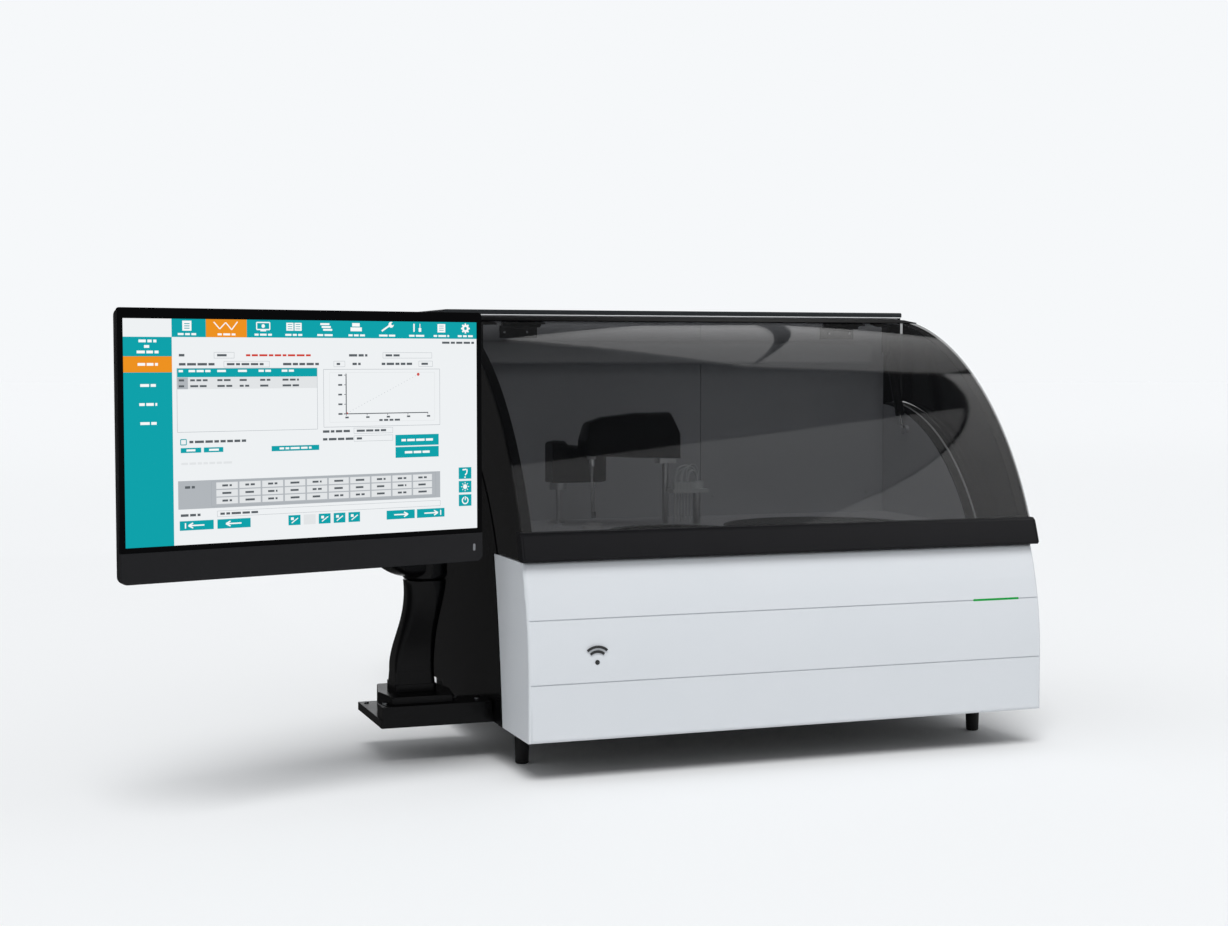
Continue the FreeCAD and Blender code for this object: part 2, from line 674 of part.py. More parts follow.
def make_inner_walls():
    thick, radius = size("lining_thick"), size("sill_radius") - size("lining_thick")
    deck, wall = size("deck_top"), size("wall_front")
    middle = (deck + sill_z(radius, size("panel_shoulder"))) / 2 + 20
    line = outline((sill_y(radius, deck), deck), [(sill_y(radius, middle), middle)],
                   (size("panel_shoulder"), sill_z(radius, size("panel_shoulder"))),
                   (wall, sill_z(radius, size("panel_shoulder"))), (wall, deck))
    left = prism(line, size("lining_x"), thick)
    face = size("lining_x") + thick
    stud = rod(face, size("strut_eye_y"), size("strut_eye_z"), size("strut_stud"),
               size("strut_offset") + size("eye_thick") / 2, Vector(1, 0, 0))
    washer = rod(face, size("strut_eye_y"), size("strut_eye_z"), size("strut_stud") + 3,
                 size("strut_offset") - size("eye_thick") / 2 - 0.3, Vector(1, 0, 0))
    cap = rod(face + size("strut_offset") + size("eye_thick") / 2 + 0.3, size("strut_eye_y"),
              size("strut_eye_z"), size("strut_stud") + 2, 2, Vector(1, 0, 0))
    neck = rod(face, size("strut_eye_y"), size("strut_eye_z"), size("strut_stud"),
               size("strut_offset") + size("eye_thick") / 2 + 1, Vector(1, 0, 0))
    left = joined([left, stud, washer, neck, cap])
    return solid("inner_walls", group([left, mirrored(left)]))


def sill_band(outer, inner, x, width):
    """Curved strip between two radii about the sill's axis, from the casing's top to the panel's shoulder."""
    top, shoulder = size("casing_top"), size("panel_shoulder")
    outer_mid = 0.4 * top + 0.6 * sill_z(outer, shoulder)
    inner_mid = 0.4 * top + 0.6 * sill_z(inner, shoulder)
    line = outline((sill_y(outer, top), top), [(sill_y(outer, outer_mid), outer_mid)],
                   (shoulder, sill_z(outer, shoulder)), (shoulder, sill_z(inner, shoulder)),
                   [(sill_y(inner, inner_mid), inner_mid)], (sill_y(inner, top), top))
    return prism(line, x, width)


def make_side_sills():
    radius, start = size("sill_radius"), size("panel_thick")
    end = size("lining_x") + size("lining_thick")
    left = sill_band(radius, radius - size("lining_thick"), start, end - start)
    return solid("side_sills", group([left, mirrored(left)]))


def make_sill_trims():
    radius = size("sill_radius")
    left = sill_band(radius + size("trim_thick"), radius, size("trim_place"), size("trim_width"))
    return solid("sill_trims", group([left, mirrored(left)]))


def make_rear_wall(label, start, end):
    body = new_body(label)
    roof = size("plate_top") - size("plate_thick") - size("frame_thick")
    pad(body, sketch_on(body, "sheet", "XZ_Plane", -size("wall_front") - size("wall_thick"),
                        rectangle(start, size("deck_top"), end - start, roof - size("deck_top"))),
        "Sizes.wall_thick")
    return body


def make_rear_beam():
    body = new_body("rear_beam")
    start = size("lining_x") + size("lining_thick")
    length = W - 2 * start - size("beam_end")
    high, back = size("plate_top") - size("beam_drop"), size("wall_front")
    low = high - size("beam_tall")
    front = back - size("beam_depth")
    section = outline((front + 5, low), (back, low), (back, high), (front + 9, high),
                      [(front + 2.6, high - 2.6)], (front, high - 9), (front, low + 5),
                      [(front + 1.5, low + 1.5)])
    feature = pad(body, sketch_on(body, "section", "YZ_Plane", start, section), "Sizes.body_width")
    feature.setExpression("Length", f"Sizes.body_width - {2 * start} - Sizes.beam_end")
    return body


# Work deck with its sunk bays

def mixer_spot(turn):
    """Place of the stirrer's paddle after a turn in degrees."""
    angle = math.radians(turn)
    return (size("mixer_x") + size("mixer_reach") * math.cos(angle),
            size("mixer_y") + size("mixer_reach") * math.sin(angle))


def well_places():
    return [(size("arm_x") - size("arm_reach"), size("arm_y")), mixer_spot(0), mixer_spot(size("mixer_park"))]


def make_work_deck():
    body = new_body("work_deck")
    side = size("lining_x") + size("lining_thick")
    front, back, fit = size("deck_front"), size("wall_front") + size("wall_thick"), size("running_fit")
    top, under = size("deck_top"), size("deck_top") - size("deck_thick")
    fill = (back - front)
    pad(body, sketch_on(body, "plate", "XY_Plane", under, rectangle(side, front, W - 2 * side, fill)),
        "Sizes.deck_thick")
    skirt = outline((side, front), (W - side, front), (W - side, back), (W - side - 3, back),
                    (W - side - 3, front + 3), (side + 3, front + 3), (side + 3, back), (side, back))
    doc.recompute()
    pad(body, sketch_on(body, "skirt", "XY_Plane", size("casing_top"), skirt),
        "Sizes.deck_top - Sizes.deck_thick - Sizes.casing_top")
    doc.recompute()
    pad(body, sketch_on(body, "ram", "XY_Plane", under, circle(size("arm_x"), size("arm_y"), size("ram_radius"))),
        "Sizes.ram_length", True)
    doc.recompute()
    pad(body, sketch_on(body, "collars", "XY_Plane", top,
                        circle(size("arm_x"), size("arm_y"), size("arm_shaft_radius") + 5),
                        circle(size("mixer_x"), size("mixer_y"), size("mixer_shaft_radius") + 5),
                        circle(size("wash_x"), size("wash_y"), size("wash_post_radius") + 5)),
        "Sizes.deck_thick")
    holes = [circle(size("reaction_x"), size("reaction_y"), size("reaction_radius") + size("bay_gap")),
             circle(size("tray_x"), size("tray_y"), size("tray_radius") + size("bay_gap")),
             circle(size("arm_x"), size("arm_y"), size("arm_shaft_radius") + fit),
             circle(size("mixer_x"), size("mixer_y"), size("mixer_shaft_radius") + fit),
             circle(size("wash_x"), size("wash_y"), size("wash_post_radius") + fit)]
    holes += [circle(x, y, size("well_radius") - 2) for x, y in well_places()]
    pocket(body, sketch_on(body, "openings", "XY_Plane", top + size("deck_thick") + 1, *holes),
           "Sizes.ram_length + 4 * Sizes.deck_thick")
    return body


def make_bay(label, x, y, radius, depth):
    """Sunk round bay that hangs in the deck, with a bearing boss for the spindle."""
    body = new_body(label, frame_place * Placement(Vector(x, y, 0), Rotation()))
    wall, top = size("bowl_wall"), size("deck_top")
    low, bore = top - depth, size("spindle_radius") + size("running_fit")
    profile = outline((bore, low), (radius, low), (radius, top), (radius - wall, top),
                      (radius - wall, low + wall), (bore + 6, low + wall), (bore + 6, low + 4 * wall),
                      (bore, low + 4 * wall))
    revolve(body, sketch_on(body, "profile", "XZ_Plane", 0, profile))
    return body


def make_wash_wells():
    outer, bore, rim = size("well_radius"), size("well_bore"), size("well_rim")
    low = rim - size("well_depth")
    wells = []
    for x, y in well_places():
        cup = rod(x, y, low, outer - 2, size("well_depth")).fuse(
            rod(x, y, size("deck_top"), outer, rim - size("deck_top")))
        wells.append(cup.cut(rod(x, y, low + 3, bore, size("well_depth"))).removeSplitter())
    return solid("wash_wells", group(wells))


def make_reaction_rotor():
    place = frame_place * Placement(Vector(size("reaction_x"), size("reaction_y"), 0), Rotation())
    body = new_body("reaction_rotor", place)
    top, radius, ring = size("reaction_top"), size("reaction_radius"), size("cuvette_ring")
    floor = size("deck_top") - size("reaction_depth") + 4 * size("bowl_wall")
    inner = ring - size("cuvette_size") - 3
    spindle = size("spindle_radius")
    profile = outline((0, floor - 3 * size("bowl_wall")), (spindle, floor - 3 * size("bowl_wall")),
                      (spindle, floor + 0.5), (20, floor + 0.5), (20, floor + 8), (inner, floor + 8),
                      (inner, floor + 4), (radius, floor + 4), (radius, top), (inner, top),
                      (inner, floor + 14), (20, floor + 14), (16, top - 4), (14, top - 1), (0, top - 1))
    revolve(body, sketch_on(body, "profile", "XZ_Plane", 0, profile))
    width = size("cuvette_size") + 0.4
    seat = pocket(body, sketch_on(body, "seat", "XY_Plane", top + 1,
                                  rectangle(ring - width / 2, -width / 2, width, width)),
                  "Sizes.cuvette_height")
    polar(body, seat, int(size("cuvette_count")))
    return body


def make_cuvettes():
    wide, wall, height = size("cuvette_size"), size("cuvette_wall"), size("cuvette_height")
    ring, count = size("cuvette_ring"), int(size("cuvette_count"))
    low = size("reaction_top") + 1 - height
    one = block(ring - wide / 2, -wide / 2, low, wide, wide, height).cut(
        block(ring - wide / 2 + wall, -wide / 2 + wall, low + wall, wide - 2 * wall, wide - 2 * wall, height))
    place = frame_place * Placement(Vector(size("reaction_x"), size("reaction_y"), 0), Rotation())
    turns = [Placement(Vector(), Rotation(Vector(0, 0, 1), 360 * index / count)) for index in range(count)]
    return solid("cuvettes", group([one.transformed(turn.toMatrix()) for turn in turns]), place)


def tray_floor():
    """Top of the sample tray's floor."""
    return size("deck_top") - size("tray_depth") + 4 * size("bowl_wall") + 6.5


def make_sample_tray():
    place = frame_place * Placement(Vector(size("tray_x"), size("tray_y"), 0), Rotation())
    body = new_body("sample_tray", place)
    radius, floor, spindle = size("tray_radius"), tray_floor(), size("spindle_radius")
    wall_out, ring = 3, size("tube_ring")
    fence = size("bottle_ring") - size("bottle_deep") / 2 - 5
    block_out, block_in = ring + size("tube_radius") + 5, ring - size("tube_radius") - 5
    profile = outline((0, floor - 6 - 9), (spindle, floor - 6 - 9), (spindle, floor - 6), (radius, floor - 6),
                      (radius, floor + 34), (radius - wall_out, floor + 34), (radius - wall_out, floor),
                      (fence, floor), (fence, floor + 34), (fence - wall_out, floor + 34),
                      (fence - wall_out, floor), (block_out, floor), (block_out, floor + 40),
                      (block_in, floor + 40), (block_in, floor), (18, floor), (14, floor + 60),
                      (26, floor + 76), (26, floor + 84), (0, floor + 84))
    revolve(body, sketch_on(body, "profile", "XZ_Plane", 0, profile))
    seat = pocket(body, sketch_on(body, "seat", "XY_Plane", floor + 41,
                                  circle(ring, 0, size("tube_radius") + 0.3)), "36")
    polar(body, seat, int(size("tube_count")))
    return body


def ring_of(shape, count, shift=0):
    turns = [Placement(Vector(), Rotation(Vector(0, 0, 1), 360 * (index + shift) / count))
             for index in range(count)]
    return group([shape.transformed(turn.toMatrix()) for turn in turns])


def make_reagent_bottles():
    wide, deep, tall = size("bottle_wide"), size("bottle_deep"), size("bottle_tall")
    floor, ring = tray_floor(), size("bottle_ring")
    flask = block(ring - deep / 2, -wide / 2, floor, deep, wide, tall)
    upright = [edge for edge in flask.Edges if abs(edge.Vertexes[0].Z - edge.Vertexes[1].Z) > 1]
    flask = flask.makeFillet(5, upright)
    neck = rod(ring, 0, floor + tall, 10, 6)
    cap = rod(ring, 0, floor + tall + 6, 12, 12)
    one = joined([flask, neck, cap])
    place = frame_place * Placement(Vector(size("tray_x"), size("tray_y"), 0), Rotation())
    return solid("reagent_bottles", ring_of(one, int(size("bottle_count"))), place)


def make_sample_tubes():
    floor, ring, radius = tray_floor() + 5.2, size("tube_ring"), size("tube_radius")
    one = rod(ring, 0, floor, radius, size("tube_height")).cut(
        rod(ring, 0, floor + 3, radius - 1, size("tube_height")))
    place = frame_place * Placement(Vector(size("tray_x"), size("tray_y"), 0), Rotation())
    return solid("sample_tubes", ring_of(one, int(size("tube_count"))), place)


# Arms: a lofted cover with a rounded back, a shaft and what it carries

def section_across(x, low, height, width, y, crown):
    """Upright section of an arm cover at x: flat underside, straight sides and a crowned top."""
    half, shoulder = width / 2, low + height - crown
    points = [Vector(x, y - half, low), Vector(x, y + half, low), Vector(x, y + half, shoulder),
              Vector(x, y, low + height), Vector(x, y - half, shoulder)]
    return Part.Wire([Part.LineSegment(points[0], points[1]).toShape(),
                      Part.LineSegment(points[1], points[2]).toShape(),
                      Part.Arc(points[2], points[3], points[4]).toShape(),
                      Part.LineSegment(points[4], points[0]).toShape()])


def make_arm_shaft():
    x, y = size("arm_x"), size("arm_y")
    # The stem is long enough under its guide tube for the full lift, and a collar stops it there
    low = size("deck_top") - size("deck_thick") - size("ram_length") - 26
    stem = rod(x, y, low, size("arm_shaft_radius"), size("arm_bottom") - low)
    stop = rod(x, y, low, size("ram_radius") - 1, 4)
    clamp = block(x - 16, y - 12, size("arm_bottom") - 9, 32, 24, 9)
    upright = [edge for edge in clamp.Edges if abs(edge.Vertexes[0].Z - edge.Vertexes[1].Z) > 1]
    return solid("arm_shaft", joined([stem, stop, clamp.makeFillet(4, upright)]))


def make_arm_cover():
    x, y, low, rise = size("arm_x"), size("arm_y"), size("arm_bottom"), size("arm_rise")
    right = x + size("arm_overhang")
    left = x - size("arm_reach") - size("arm_overhang")
    width, length = size("arm_width"), right - left
    sections = [section_across(left, low + 7, 0.38 * rise, 0.72 * width, y, 6),
                section_across(left + 0.05 * length, low + 6, 0.72 * rise, 0.9 * width, y, 9),
                section_across(left + 0.2 * length, low + 5, 0.84 * rise, width, y, 11),
                section_across(left + 0.55 * length, low + 2, 0.96 * rise, width, y, 12),
                section_across(right - 0.08 * length, low, rise, width, y, 12),
                section_across(right, low, 0.66 * rise, 0.9 * width, y, 10)]
    return solid("arm_cover", Part.makeLoft(sections, True, True))


def make_sample_probe():
    x, y, tip = size("arm_x") - size("arm_reach"), size("arm_y"), size("probe_tip")
    needle = rod(x, y, tip + 6, size("probe_radius"), size("arm_bottom") + 6 - tip - 6)
    point = Part.makeCone(0.5, size("probe_radius"), 6, Vector(x, y, tip))
    holder = rod(x, y, size("arm_bottom") - 12, 4.5, 17)
    cut_line = block(x - 10, y - 10, size("arm_bottom") + 5, 20, 20, 40)
    return solid("sample_probe", joined([needle, point, holder]).cut(cut_line))


def make_mixer_shaft():
    # The stem reaches far enough under the deck for the full lift, and a collar stops it there
    x, y, low = size("mixer_x"), size("mixer_y"), size("deck_top") - size("deck_thick") - size("mixer_travel") - 5
    stem = rod(x, y, low, size("mixer_shaft_radius"), size("mixer_bottom") - low)
    stop = rod(x, y, low, size("mixer_shaft_radius") + 4, 3)
    hub = rod(x, y, size("mixer_bottom") - 12, 14, 12)
    return solid("mixer_shaft", joined([stem, stop, hub]))


def make_mixer_cover():
    x, y, low, rise = size("mixer_x"), size("mixer_y"), size("mixer_bottom"), size("mixer_rise")
    left, right = x - size("mixer_overhang"), x + size("mixer_reach") + size("mixer_overhang")
    width, length = size("mixer_width"), right - left
    tower = Part.makeLoft([section_across(left, low, rise - 2, 0.9 * width, y, 5),
                           section_across(left + 0.1 * length, low, rise, width, y, 6),
                           section_across(left + 0.27 * length, low, rise - 1, width, y, 6)], True, True)
    nose = Part.makeLoft([section_across(left + 0.27 * length, low, 0.9 * rise, width, y, 6),
                          section_across(right - 0.1 * length, low, 0.82 * rise, 0.9 * width, y, 6),
                          section_across(right, low + 2, 0.7 * rise, 0.7 * width, y, 5)], True, True)
    return solid("mixer_cover", tower.fuse(nose).removeSplitter())


def make_mixer_paddle():
    x, y = mixer_spot(0)
    low = size("probe_tip")
    stem = rod(x, y, low, 1.2, size("mixer_bottom") - low)
    blade = block(x - 3, y - 0.5, low, 6, 1, 10)
    chuck = rod(x, y, size("mixer_bottom") - 10, 4, 10)
    return solid("mixer_paddle", joined([stem, blade, chuck]))


def make_wash_post():
    x, y, low = size("wash_x"), size("wash_y"), size("deck_top") - 46
    radius = size("wash_post_radius")
    post = rod(x, y, low, radius, size("wash_low") - low)
    return solid("wash_post", joined([post, rod(x, y, low, radius + 3, 4)]))


def make_wash_manifold():
    x, y, low, thick = size("wash_x"), size("wash_y"), size("wash_low"), size("wash_thick")
    left, right = size("wash_left"), x + 13
    deep = 30
    plate = block(left, y - deep + 8, low, right - left, deep, 6)
    comb = [plate, rod(x, y, low, 12, thick)]
    count = int(size("nozzle_count"))
    pitch = (x - 16 - left - 6) / (count - 1)
    tubes = []
    for index in range(count):
        nx = left + 5 + pitch * index
        comb.append(block(nx - 2.6, y - deep + 9, low + 6, 5.2, 12, thick - 6))
        comb.append(rod(nx, y - deep + 15, size("wash_tip"), size("nozzle_radius"), low - size("wash_tip")))
        # Each tube leaves the top of its fitting, bends over and goes down into the head of the post
        start = Vector(nx, y - deep + 15, low + thick)
        end = Vector(x, y, low + thick)
        top = (start + end) * 0.5 + Vector(0, 0, 22 + 1.5 * index)
        bend = Part.Arc(start, top, end).toShape()
        ring = Part.Wire([Part.Circle(start, bend.tangentAt(bend.FirstParameter), 1).toShape()])
        if index % 2 == 0:
            tubes.append(Part.Wire([bend]).makePipeShell([ring], True, False))
    return solid("wash_manifold", joined(comb + tubes))


# Hood

def hood_band(outer, inner, start, end):
    """Closed band between two radii about the hood's axis, between two heights on its front half."""
    low_out, mid_out, top_out = hood_arc(outer, start, end)
    low_in, mid_in, top_in = hood_arc(inner, start, end)
    return outline(low_out, [mid_out], top_out, top_in, [mid_in], low_in)


def make_hood_window():
    body = new_body("hood_window")
    outer, inner = size("hood_radius"), size("hood_radius") - size("sheet_thick")
    low, back = size("lip_top") - size("lip_groove"), size("hood_back")
    middle = (hood_y(outer, low) + back) / 2 - 90
    band = outline((hood_y(outer, low), low), [(middle, hood_z(outer, middle))], (back, hood_z(outer, back)),
                   (back, hood_z(inner, back)), [(middle + 5, hood_z(inner, middle + 5))],
                   (hood_y(inner, low), low))
    pad(body, sketch_on(body, "bend", "YZ_Plane", 0, band), "Sizes.body_width")
    return body


def make_hood_side(label, right):
    body = new_body(label)
    inner, lip = size("hood_radius") - size("sheet_thick"), size("hood_radius") + size("lip_proud") - size("lip_thick")
    low, top, back = size("lip_bottom"), size("lip_top"), size("side_back")
    sill = size("sill_radius") + size("hood_gap")
    middle = hood_y(inner, top) + 0.35 * (back - hood_y(inner, top))
    sill_mid = 0.35 * low + 0.65 * sill_z(sill, back)
    wall = outline((hood_y(lip, low), low), [(hood_y(lip, (low + top) / 2), (low + top) / 2)],
                   (hood_y(lip, top), top), (hood_y(inner, top), top), [(middle, hood_z(inner, middle))],
                   (back, hood_z(inner, back)), (back, sill_z(sill, back)),
                   [(sill_y(sill, sill_mid), sill_mid)], (sill_y(sill, low), low))
    start = W - size("sheet_thick") if right else 0
    pad(body, sketch_on(body, "wall", "YZ_Plane", start, wall), "Sizes.sheet_thick")
    return body


def make_edge_strips():
    inner = size("hood_radius") - size("sheet_thick")
    low, end = size("lip_top"), size("rail_front")
    outer_mid = hood_y(inner, low) + 0.35 * (end - hood_y(inner, low))
    inner -= size("bond_gap")
    under = inner - 3
    strip = outline((hood_y(inner, low), low), [(outer_mid, hood_z(inner, outer_mid))],
                    (end, hood_z(inner, end)), (end, hood_z(under, end)),
                    [(outer_mid, hood_z(under, outer_mid))], (hood_y(under, low), low))
    left = prism(strip, size("sheet_thick"), size("strip_width"))
    return solid("hood_edge_strips", group([left, mirrored(left)]))


def make_hood_rail():
    outer = size("hood_radius")
    thick, front, back = size("rail_thick"), size("rail_front"), size("hood_back")
    outer, middle = outer + size("bond_gap"), (front + back) / 2
    strip = outline((front, hood_z(outer, front)), [(middle, hood_z(outer, middle))], (back, hood_z(outer, back)),
                    (back, hood_z(outer + thick, back)), [(middle, hood_z(outer + thick, middle))],
                    (front, hood_z(outer + thick, front)))
    rail = prism(strip, 0, W)
    taper = size("rail_taper")
    low = hood_z(outer, front) - 10
    corner = Part.Face(Part.makePolygon([Vector(-1, front, low), Vector(taper, back + 1, low),
                                         Vector(-1, back + 1, low), Vector(-1, front, low)]))
    wedge = corner.extrude(Vector(0, 0, 40))
    return solid("hood_rail", rail.cut(wedge).cut(mirrored(wedge)))


def make_lip_bar():
    body = new_body("hood_lip_bar")
    outer = size("hood_radius") + size("lip_proud")
    inner = outer - size("lip_thick")
    low, top, over, edge = size("lip_bottom"), size("lip_top"), size("lip_overhang"), size("lip_edge")
    middle = (low + top) / 2
    section = outline((hood_y(outer, low + edge), low + edge), [(hood_y(outer, middle), middle)],
                      (hood_y(outer, top - edge), top - edge), (hood_y(outer - edge, top), top),
                      (hood_y(inner, top), top), [(hood_y(inner, middle), middle)],
                      (hood_y(inner, low), low), (hood_y(outer - edge, low), low))
    pad(body, sketch_on(body, "section", "YZ_Plane", -over, section), "Sizes.body_width + 2 * Sizes.lip_overhang")
    groove = hood_band(size("hood_radius"), size("hood_radius") - size("sheet_thick"),
                       top - size("lip_groove"), top + 3)
    pocket(body, sketch_on(body, "groove", "YZ_Plane", 0, groove), "Sizes.body_width", True)
    # A shallow line sets the end cap off from the bar
    for name, x in (("left_cap_line", size("lip_cap") - over), ("right_cap_line", W + over - size("lip_cap") - 0.6)):
        line = hood_band(outer + 1, outer - 0.8, low, top)
        pocket(body, sketch_on(body, name, "YZ_Plane", x, line), "0.6", True)
    return body


def hinge_places():
    """Middle of each hinge along x."""
    return (size("hinge_inset"), W - size("hinge_inset"))


def hinge_axis():
    """Hood hinge axis, hung from the inside of the sheet."""
    y = size("hinge_y")
    return y, hood_z(size("hood_radius") - size("sheet_thick"), y) - size("hinge_drop")


def make_hinge_knuckles():
    (y, z), radius, thick = hinge_axis(), size("barrel_radius"), size("flange_thick")
    long, gap = size("barrel_length"), size("barrel_gap")
    inner = size("hood_radius") - size("sheet_thick")
    bore = size("hinge_pin") + size("running_fit")
    shapes = []
    for middle in hinge_places():
        for start in (middle - 1.5 * long - gap, middle + 0.5 * long + gap):
            front, back = y - size("flange_reach"), y + 1
            pad_mid = (front + back) / 2
            flange = prism(outline((front, hood_z(inner, front)), [(pad_mid, hood_z(inner, pad_mid))],
                                   (back, hood_z(inner, back)), (back, hood_z(inner, back) - thick),
                                   (front, hood_z(inner, front) - thick)), start, long)
            barrel = rod(start, y, z, radius, long, Vector(1, 0, 0))
            hole = rod(start - 1, y, z, bore, long + 2, Vector(1, 0, 0))
            above = block(start, y - radius, z, long, 2 * radius - 4, hood_z(inner, y - radius) - 0.5 - z)
            shapes.append(joined([flange, barrel, above]).cut(hole))
    return solid("hinge_knuckles", group(shapes))


def make_hinge_mounts():
    (y, z), radius, long = hinge_axis(), size("barrel_radius"), size("barrel_length")
    wall, thick, web_thick = size("wall_front"), size("flange_thick"), size("web_thick")
    shapes = []
    for middle in hinge_places():
        barrel = rod(middle - long / 2, y, z, radius, long, Vector(1, 0, 0))
        web = block(middle - long / 2, y - radius / 2, z - radius - 2, long, wall - y + radius / 2, web_thick)
        leaf = block(middle - 1.5 * long, wall - thick, z - size("leaf_drop"), 3 * long, thick,
                     size("leaf_drop") - thick)
        hole = rod(middle - long / 2 - 1, y, z, size("hinge_pin"), long + 2, Vector(1, 0, 0))
        shapes.append(joined([barrel, web, leaf]).cut(hole))
    return solid("hinge_mounts", group(shapes))


def make_hinge_pins():
    long = 3 * size("barrel_length") + 2 * size("barrel_gap") + 4
    y, z = hinge_axis()
    pins = [rod(middle - long / 2, y, z, size("hinge_pin"), long, Vector(1, 0, 0)) for middle in hinge_places()]
    return solid("hinge_pins", group(pins))


# Gas struts, built upright about the lower eye and then leaned to the hood's bracket

def strut_x(right):
    x = size("lining_x") + size("lining_thick") + size("strut_offset")
    return W - x if right else x


def strut_top():
    """Upper eye, hung from the inside of the sheet."""
    y = size("strut_top_y")
    return y, hood_z(size("hood_radius") - size("sheet_thick"), y) - size("strut_drop")


def strut_place(right):
    y, z = strut_top()
    lean = math.degrees(math.atan2(y - size("strut_eye_y"), z - size("strut_eye_z")))
    return frame_place * Placement(Vector(strut_x(right), size("strut_eye_y"), size("strut_eye_z")),
                                   Rotation(Vector(1, 0, 0), -lean))


def strut_length():
    y, z = strut_top()
    return math.hypot(y - size("strut_eye_y"), z - size("strut_eye_z"))


def make_strut_rod(label, right):
    thick, eye = size("eye_thick"), size("strut_eye")
    ring = rod(-thick / 2, 0, 0, eye, thick, Vector(1, 0, 0))
    end = strut_length() - size("strut_head") - size("rod_margin")
    stem = rod(0, 0, eye - 2, size("strut_rod_radius"), end - eye + 2)
    hole = rod(-thick, 0, 0, size("strut_stud") + size("running_fit"), 2 * thick, Vector(1, 0, 0))
    return solid(label, joined([ring, stem]).cut(hole), strut_place(right))


def make_strut_cylinder(label, right):
    thick, eye, start = size("eye_thick"), size("strut_eye"), size("strut_bare")
    length = strut_length() - start - size("strut_head")
    tube = rod(0, 0, start, size("strut_radius"), length)
    hole = rod(0, 0, start - 1, size("strut_rod_radius") + size("running_fit"), length - 6)
    lug = block(-thick / 2, -eye, start + length - 4, thick, 2 * eye, strut_length() - start - length + 4)
    tip = rod(-thick / 2, 0, strut_length(), eye, thick, Vector(1, 0, 0))
    return solid(label, joined([tube.cut(hole), lug, tip]), strut_place(right))


def make_strut_brackets():
    x, (y, z) = strut_x(False), strut_top()
    inner, below = size("hood_radius") - size("sheet_thick"), size("tab_below")
    face = x + size("eye_thick") / 2
    tab_x = face + 3
    top = hood_z(inner, y - 12)
    tab = block(tab_x, y - 12, z - below, 4, 22, top - 1 - z + below)
    stud = rod(face + 0.3, y, z, size("strut_stud") + 1, tab_x - face - 0.3, Vector(1, 0, 0))
    flange = prism(outline((y - 16, hood_z(inner, y - 16)), [(y, hood_z(inner, y))],
                           (y + 14, hood_z(inner, y + 14)), (y + 14, hood_z(inner, y + 14) - 3),
                           (y - 16, hood_z(inner, y - 16) - 3)), tab_x, 26)
    left = joined([tab, stud, flange])
    return solid("strut_brackets", group([left, mirrored(left)]))


# Rear fittings

def make_fan_grille():
    x, z, radius, thick = size("fan_x"), size("fan_z"), size("fan_radius"), size("wall_thick")
    front = size("body_back") - thick
    toward = Vector(0, 1, 0)
    ring = rod(x, front, z, radius, thick, toward).cut(rod(x, front - 1, z, radius - 4, thick + 2, toward))
    middle = rod(x, front, z, radius - 14, thick, toward).cut(
        rod(x, front - 1, z, radius - 17, thick + 2, toward))
    hub = rod(x, front, z, 15, thick, toward)
    bars = [block(x - radius + 2, front, z - 1.5, 2 * radius - 4, thick, 3),
            block(x - 1.5, front, z - radius + 2, 3, thick, 2 * radius - 4)]
    axle = rod(x, front - 24, z, 3, 24, toward)
    stop = rod(x, front - 26, z, 5, 2, toward)
    return solid("fan_grille", joined([ring, middle, hub, axle, stop] + bars))


def make_fan_rotor():
    x, z = size("fan_x"), size("fan_z")
    front = size("body_back") - size("wall_thick") - 23.5
    toward = Vector(0, 1, 0)
    hub = rod(x, front, z, 15, 20, toward)
    blade = block(-1, 2, 12, 2, 16, size("fan_radius") - 18)
    blade.rotate(Vector(0, 10, 0), Vector(0, 0, 1), 35)
    shapes = [hub]
    for index in range(int(size("fan_blades"))):
        turned = blade.copy()
        turned.rotate(Vector(0, 0, 0), Vector(0, 1, 0), 360 * index / size("fan_blades"))
        turned.translate(Vector(x, front, z))
        shapes.append(turned)
    hole = rod(x, front - 1, z, 3 + size("running_fit"), 30, toward)
    return solid("fan_rotor", joined(shapes).cut(hole))


def make_power_inlet():
    x, z, back = size("inlet_x"), size("inlet_z"), size("body_back")
    case = block(x - 30, back - 22, z - 14, 60, 22, 28)
    socket = block(x - 25, back - 14, z - 9, 25, 15, 18)
    pins = [block(x - 13.5 + shift, back - 14, z - 4 + lift, 2, 9, 5)
            for shift, lift in ((-7, 0), (0, 3), (7, 0))]
    rocker_room = block(x + 8, back - 14, z - 10, 16, 15, 20)
    return solid("power_inlet", joined([case.cut(socket).cut(rocker_room)] + pins))


def make_power_switch():
    x, z, back = size("inlet_x"), size("inlet_z"), size("body_back")
    # Rocker with a shallow V face, built level about its pivot and then tipped to one side
    line = outline((-7, -5), (0.5, -9), (1.6, -8.6), (0.2, 0), (1.6, 8.6), (0.5, 9), (-7, 5))
    key = prism(line, 0, 15.2)
    place = frame_place * Placement(Vector(x + 8.4, back - 3, z), Rotation(Vector(1, 0, 0), 7), Vector(0, -3, 0))
    pin = rod(-0.4, -3, 0, 1.5, 16, Vector(1, 0, 0))
    return solid("power_switch", key.fuse(pin).removeSplitter(), place)


# Monitor bracket

def rounded_section(cx, cy, z, width, depth, radius):
    """Level rounded rectangle round a centre, as a wire."""
    edges = rounded(cx - width / 2, cy - depth / 2, width, depth, radius)
    wire = Part.Wire([edge.toShape() for edge in edges])
    wire.translate(Vector(0, 0, z))
    return wire


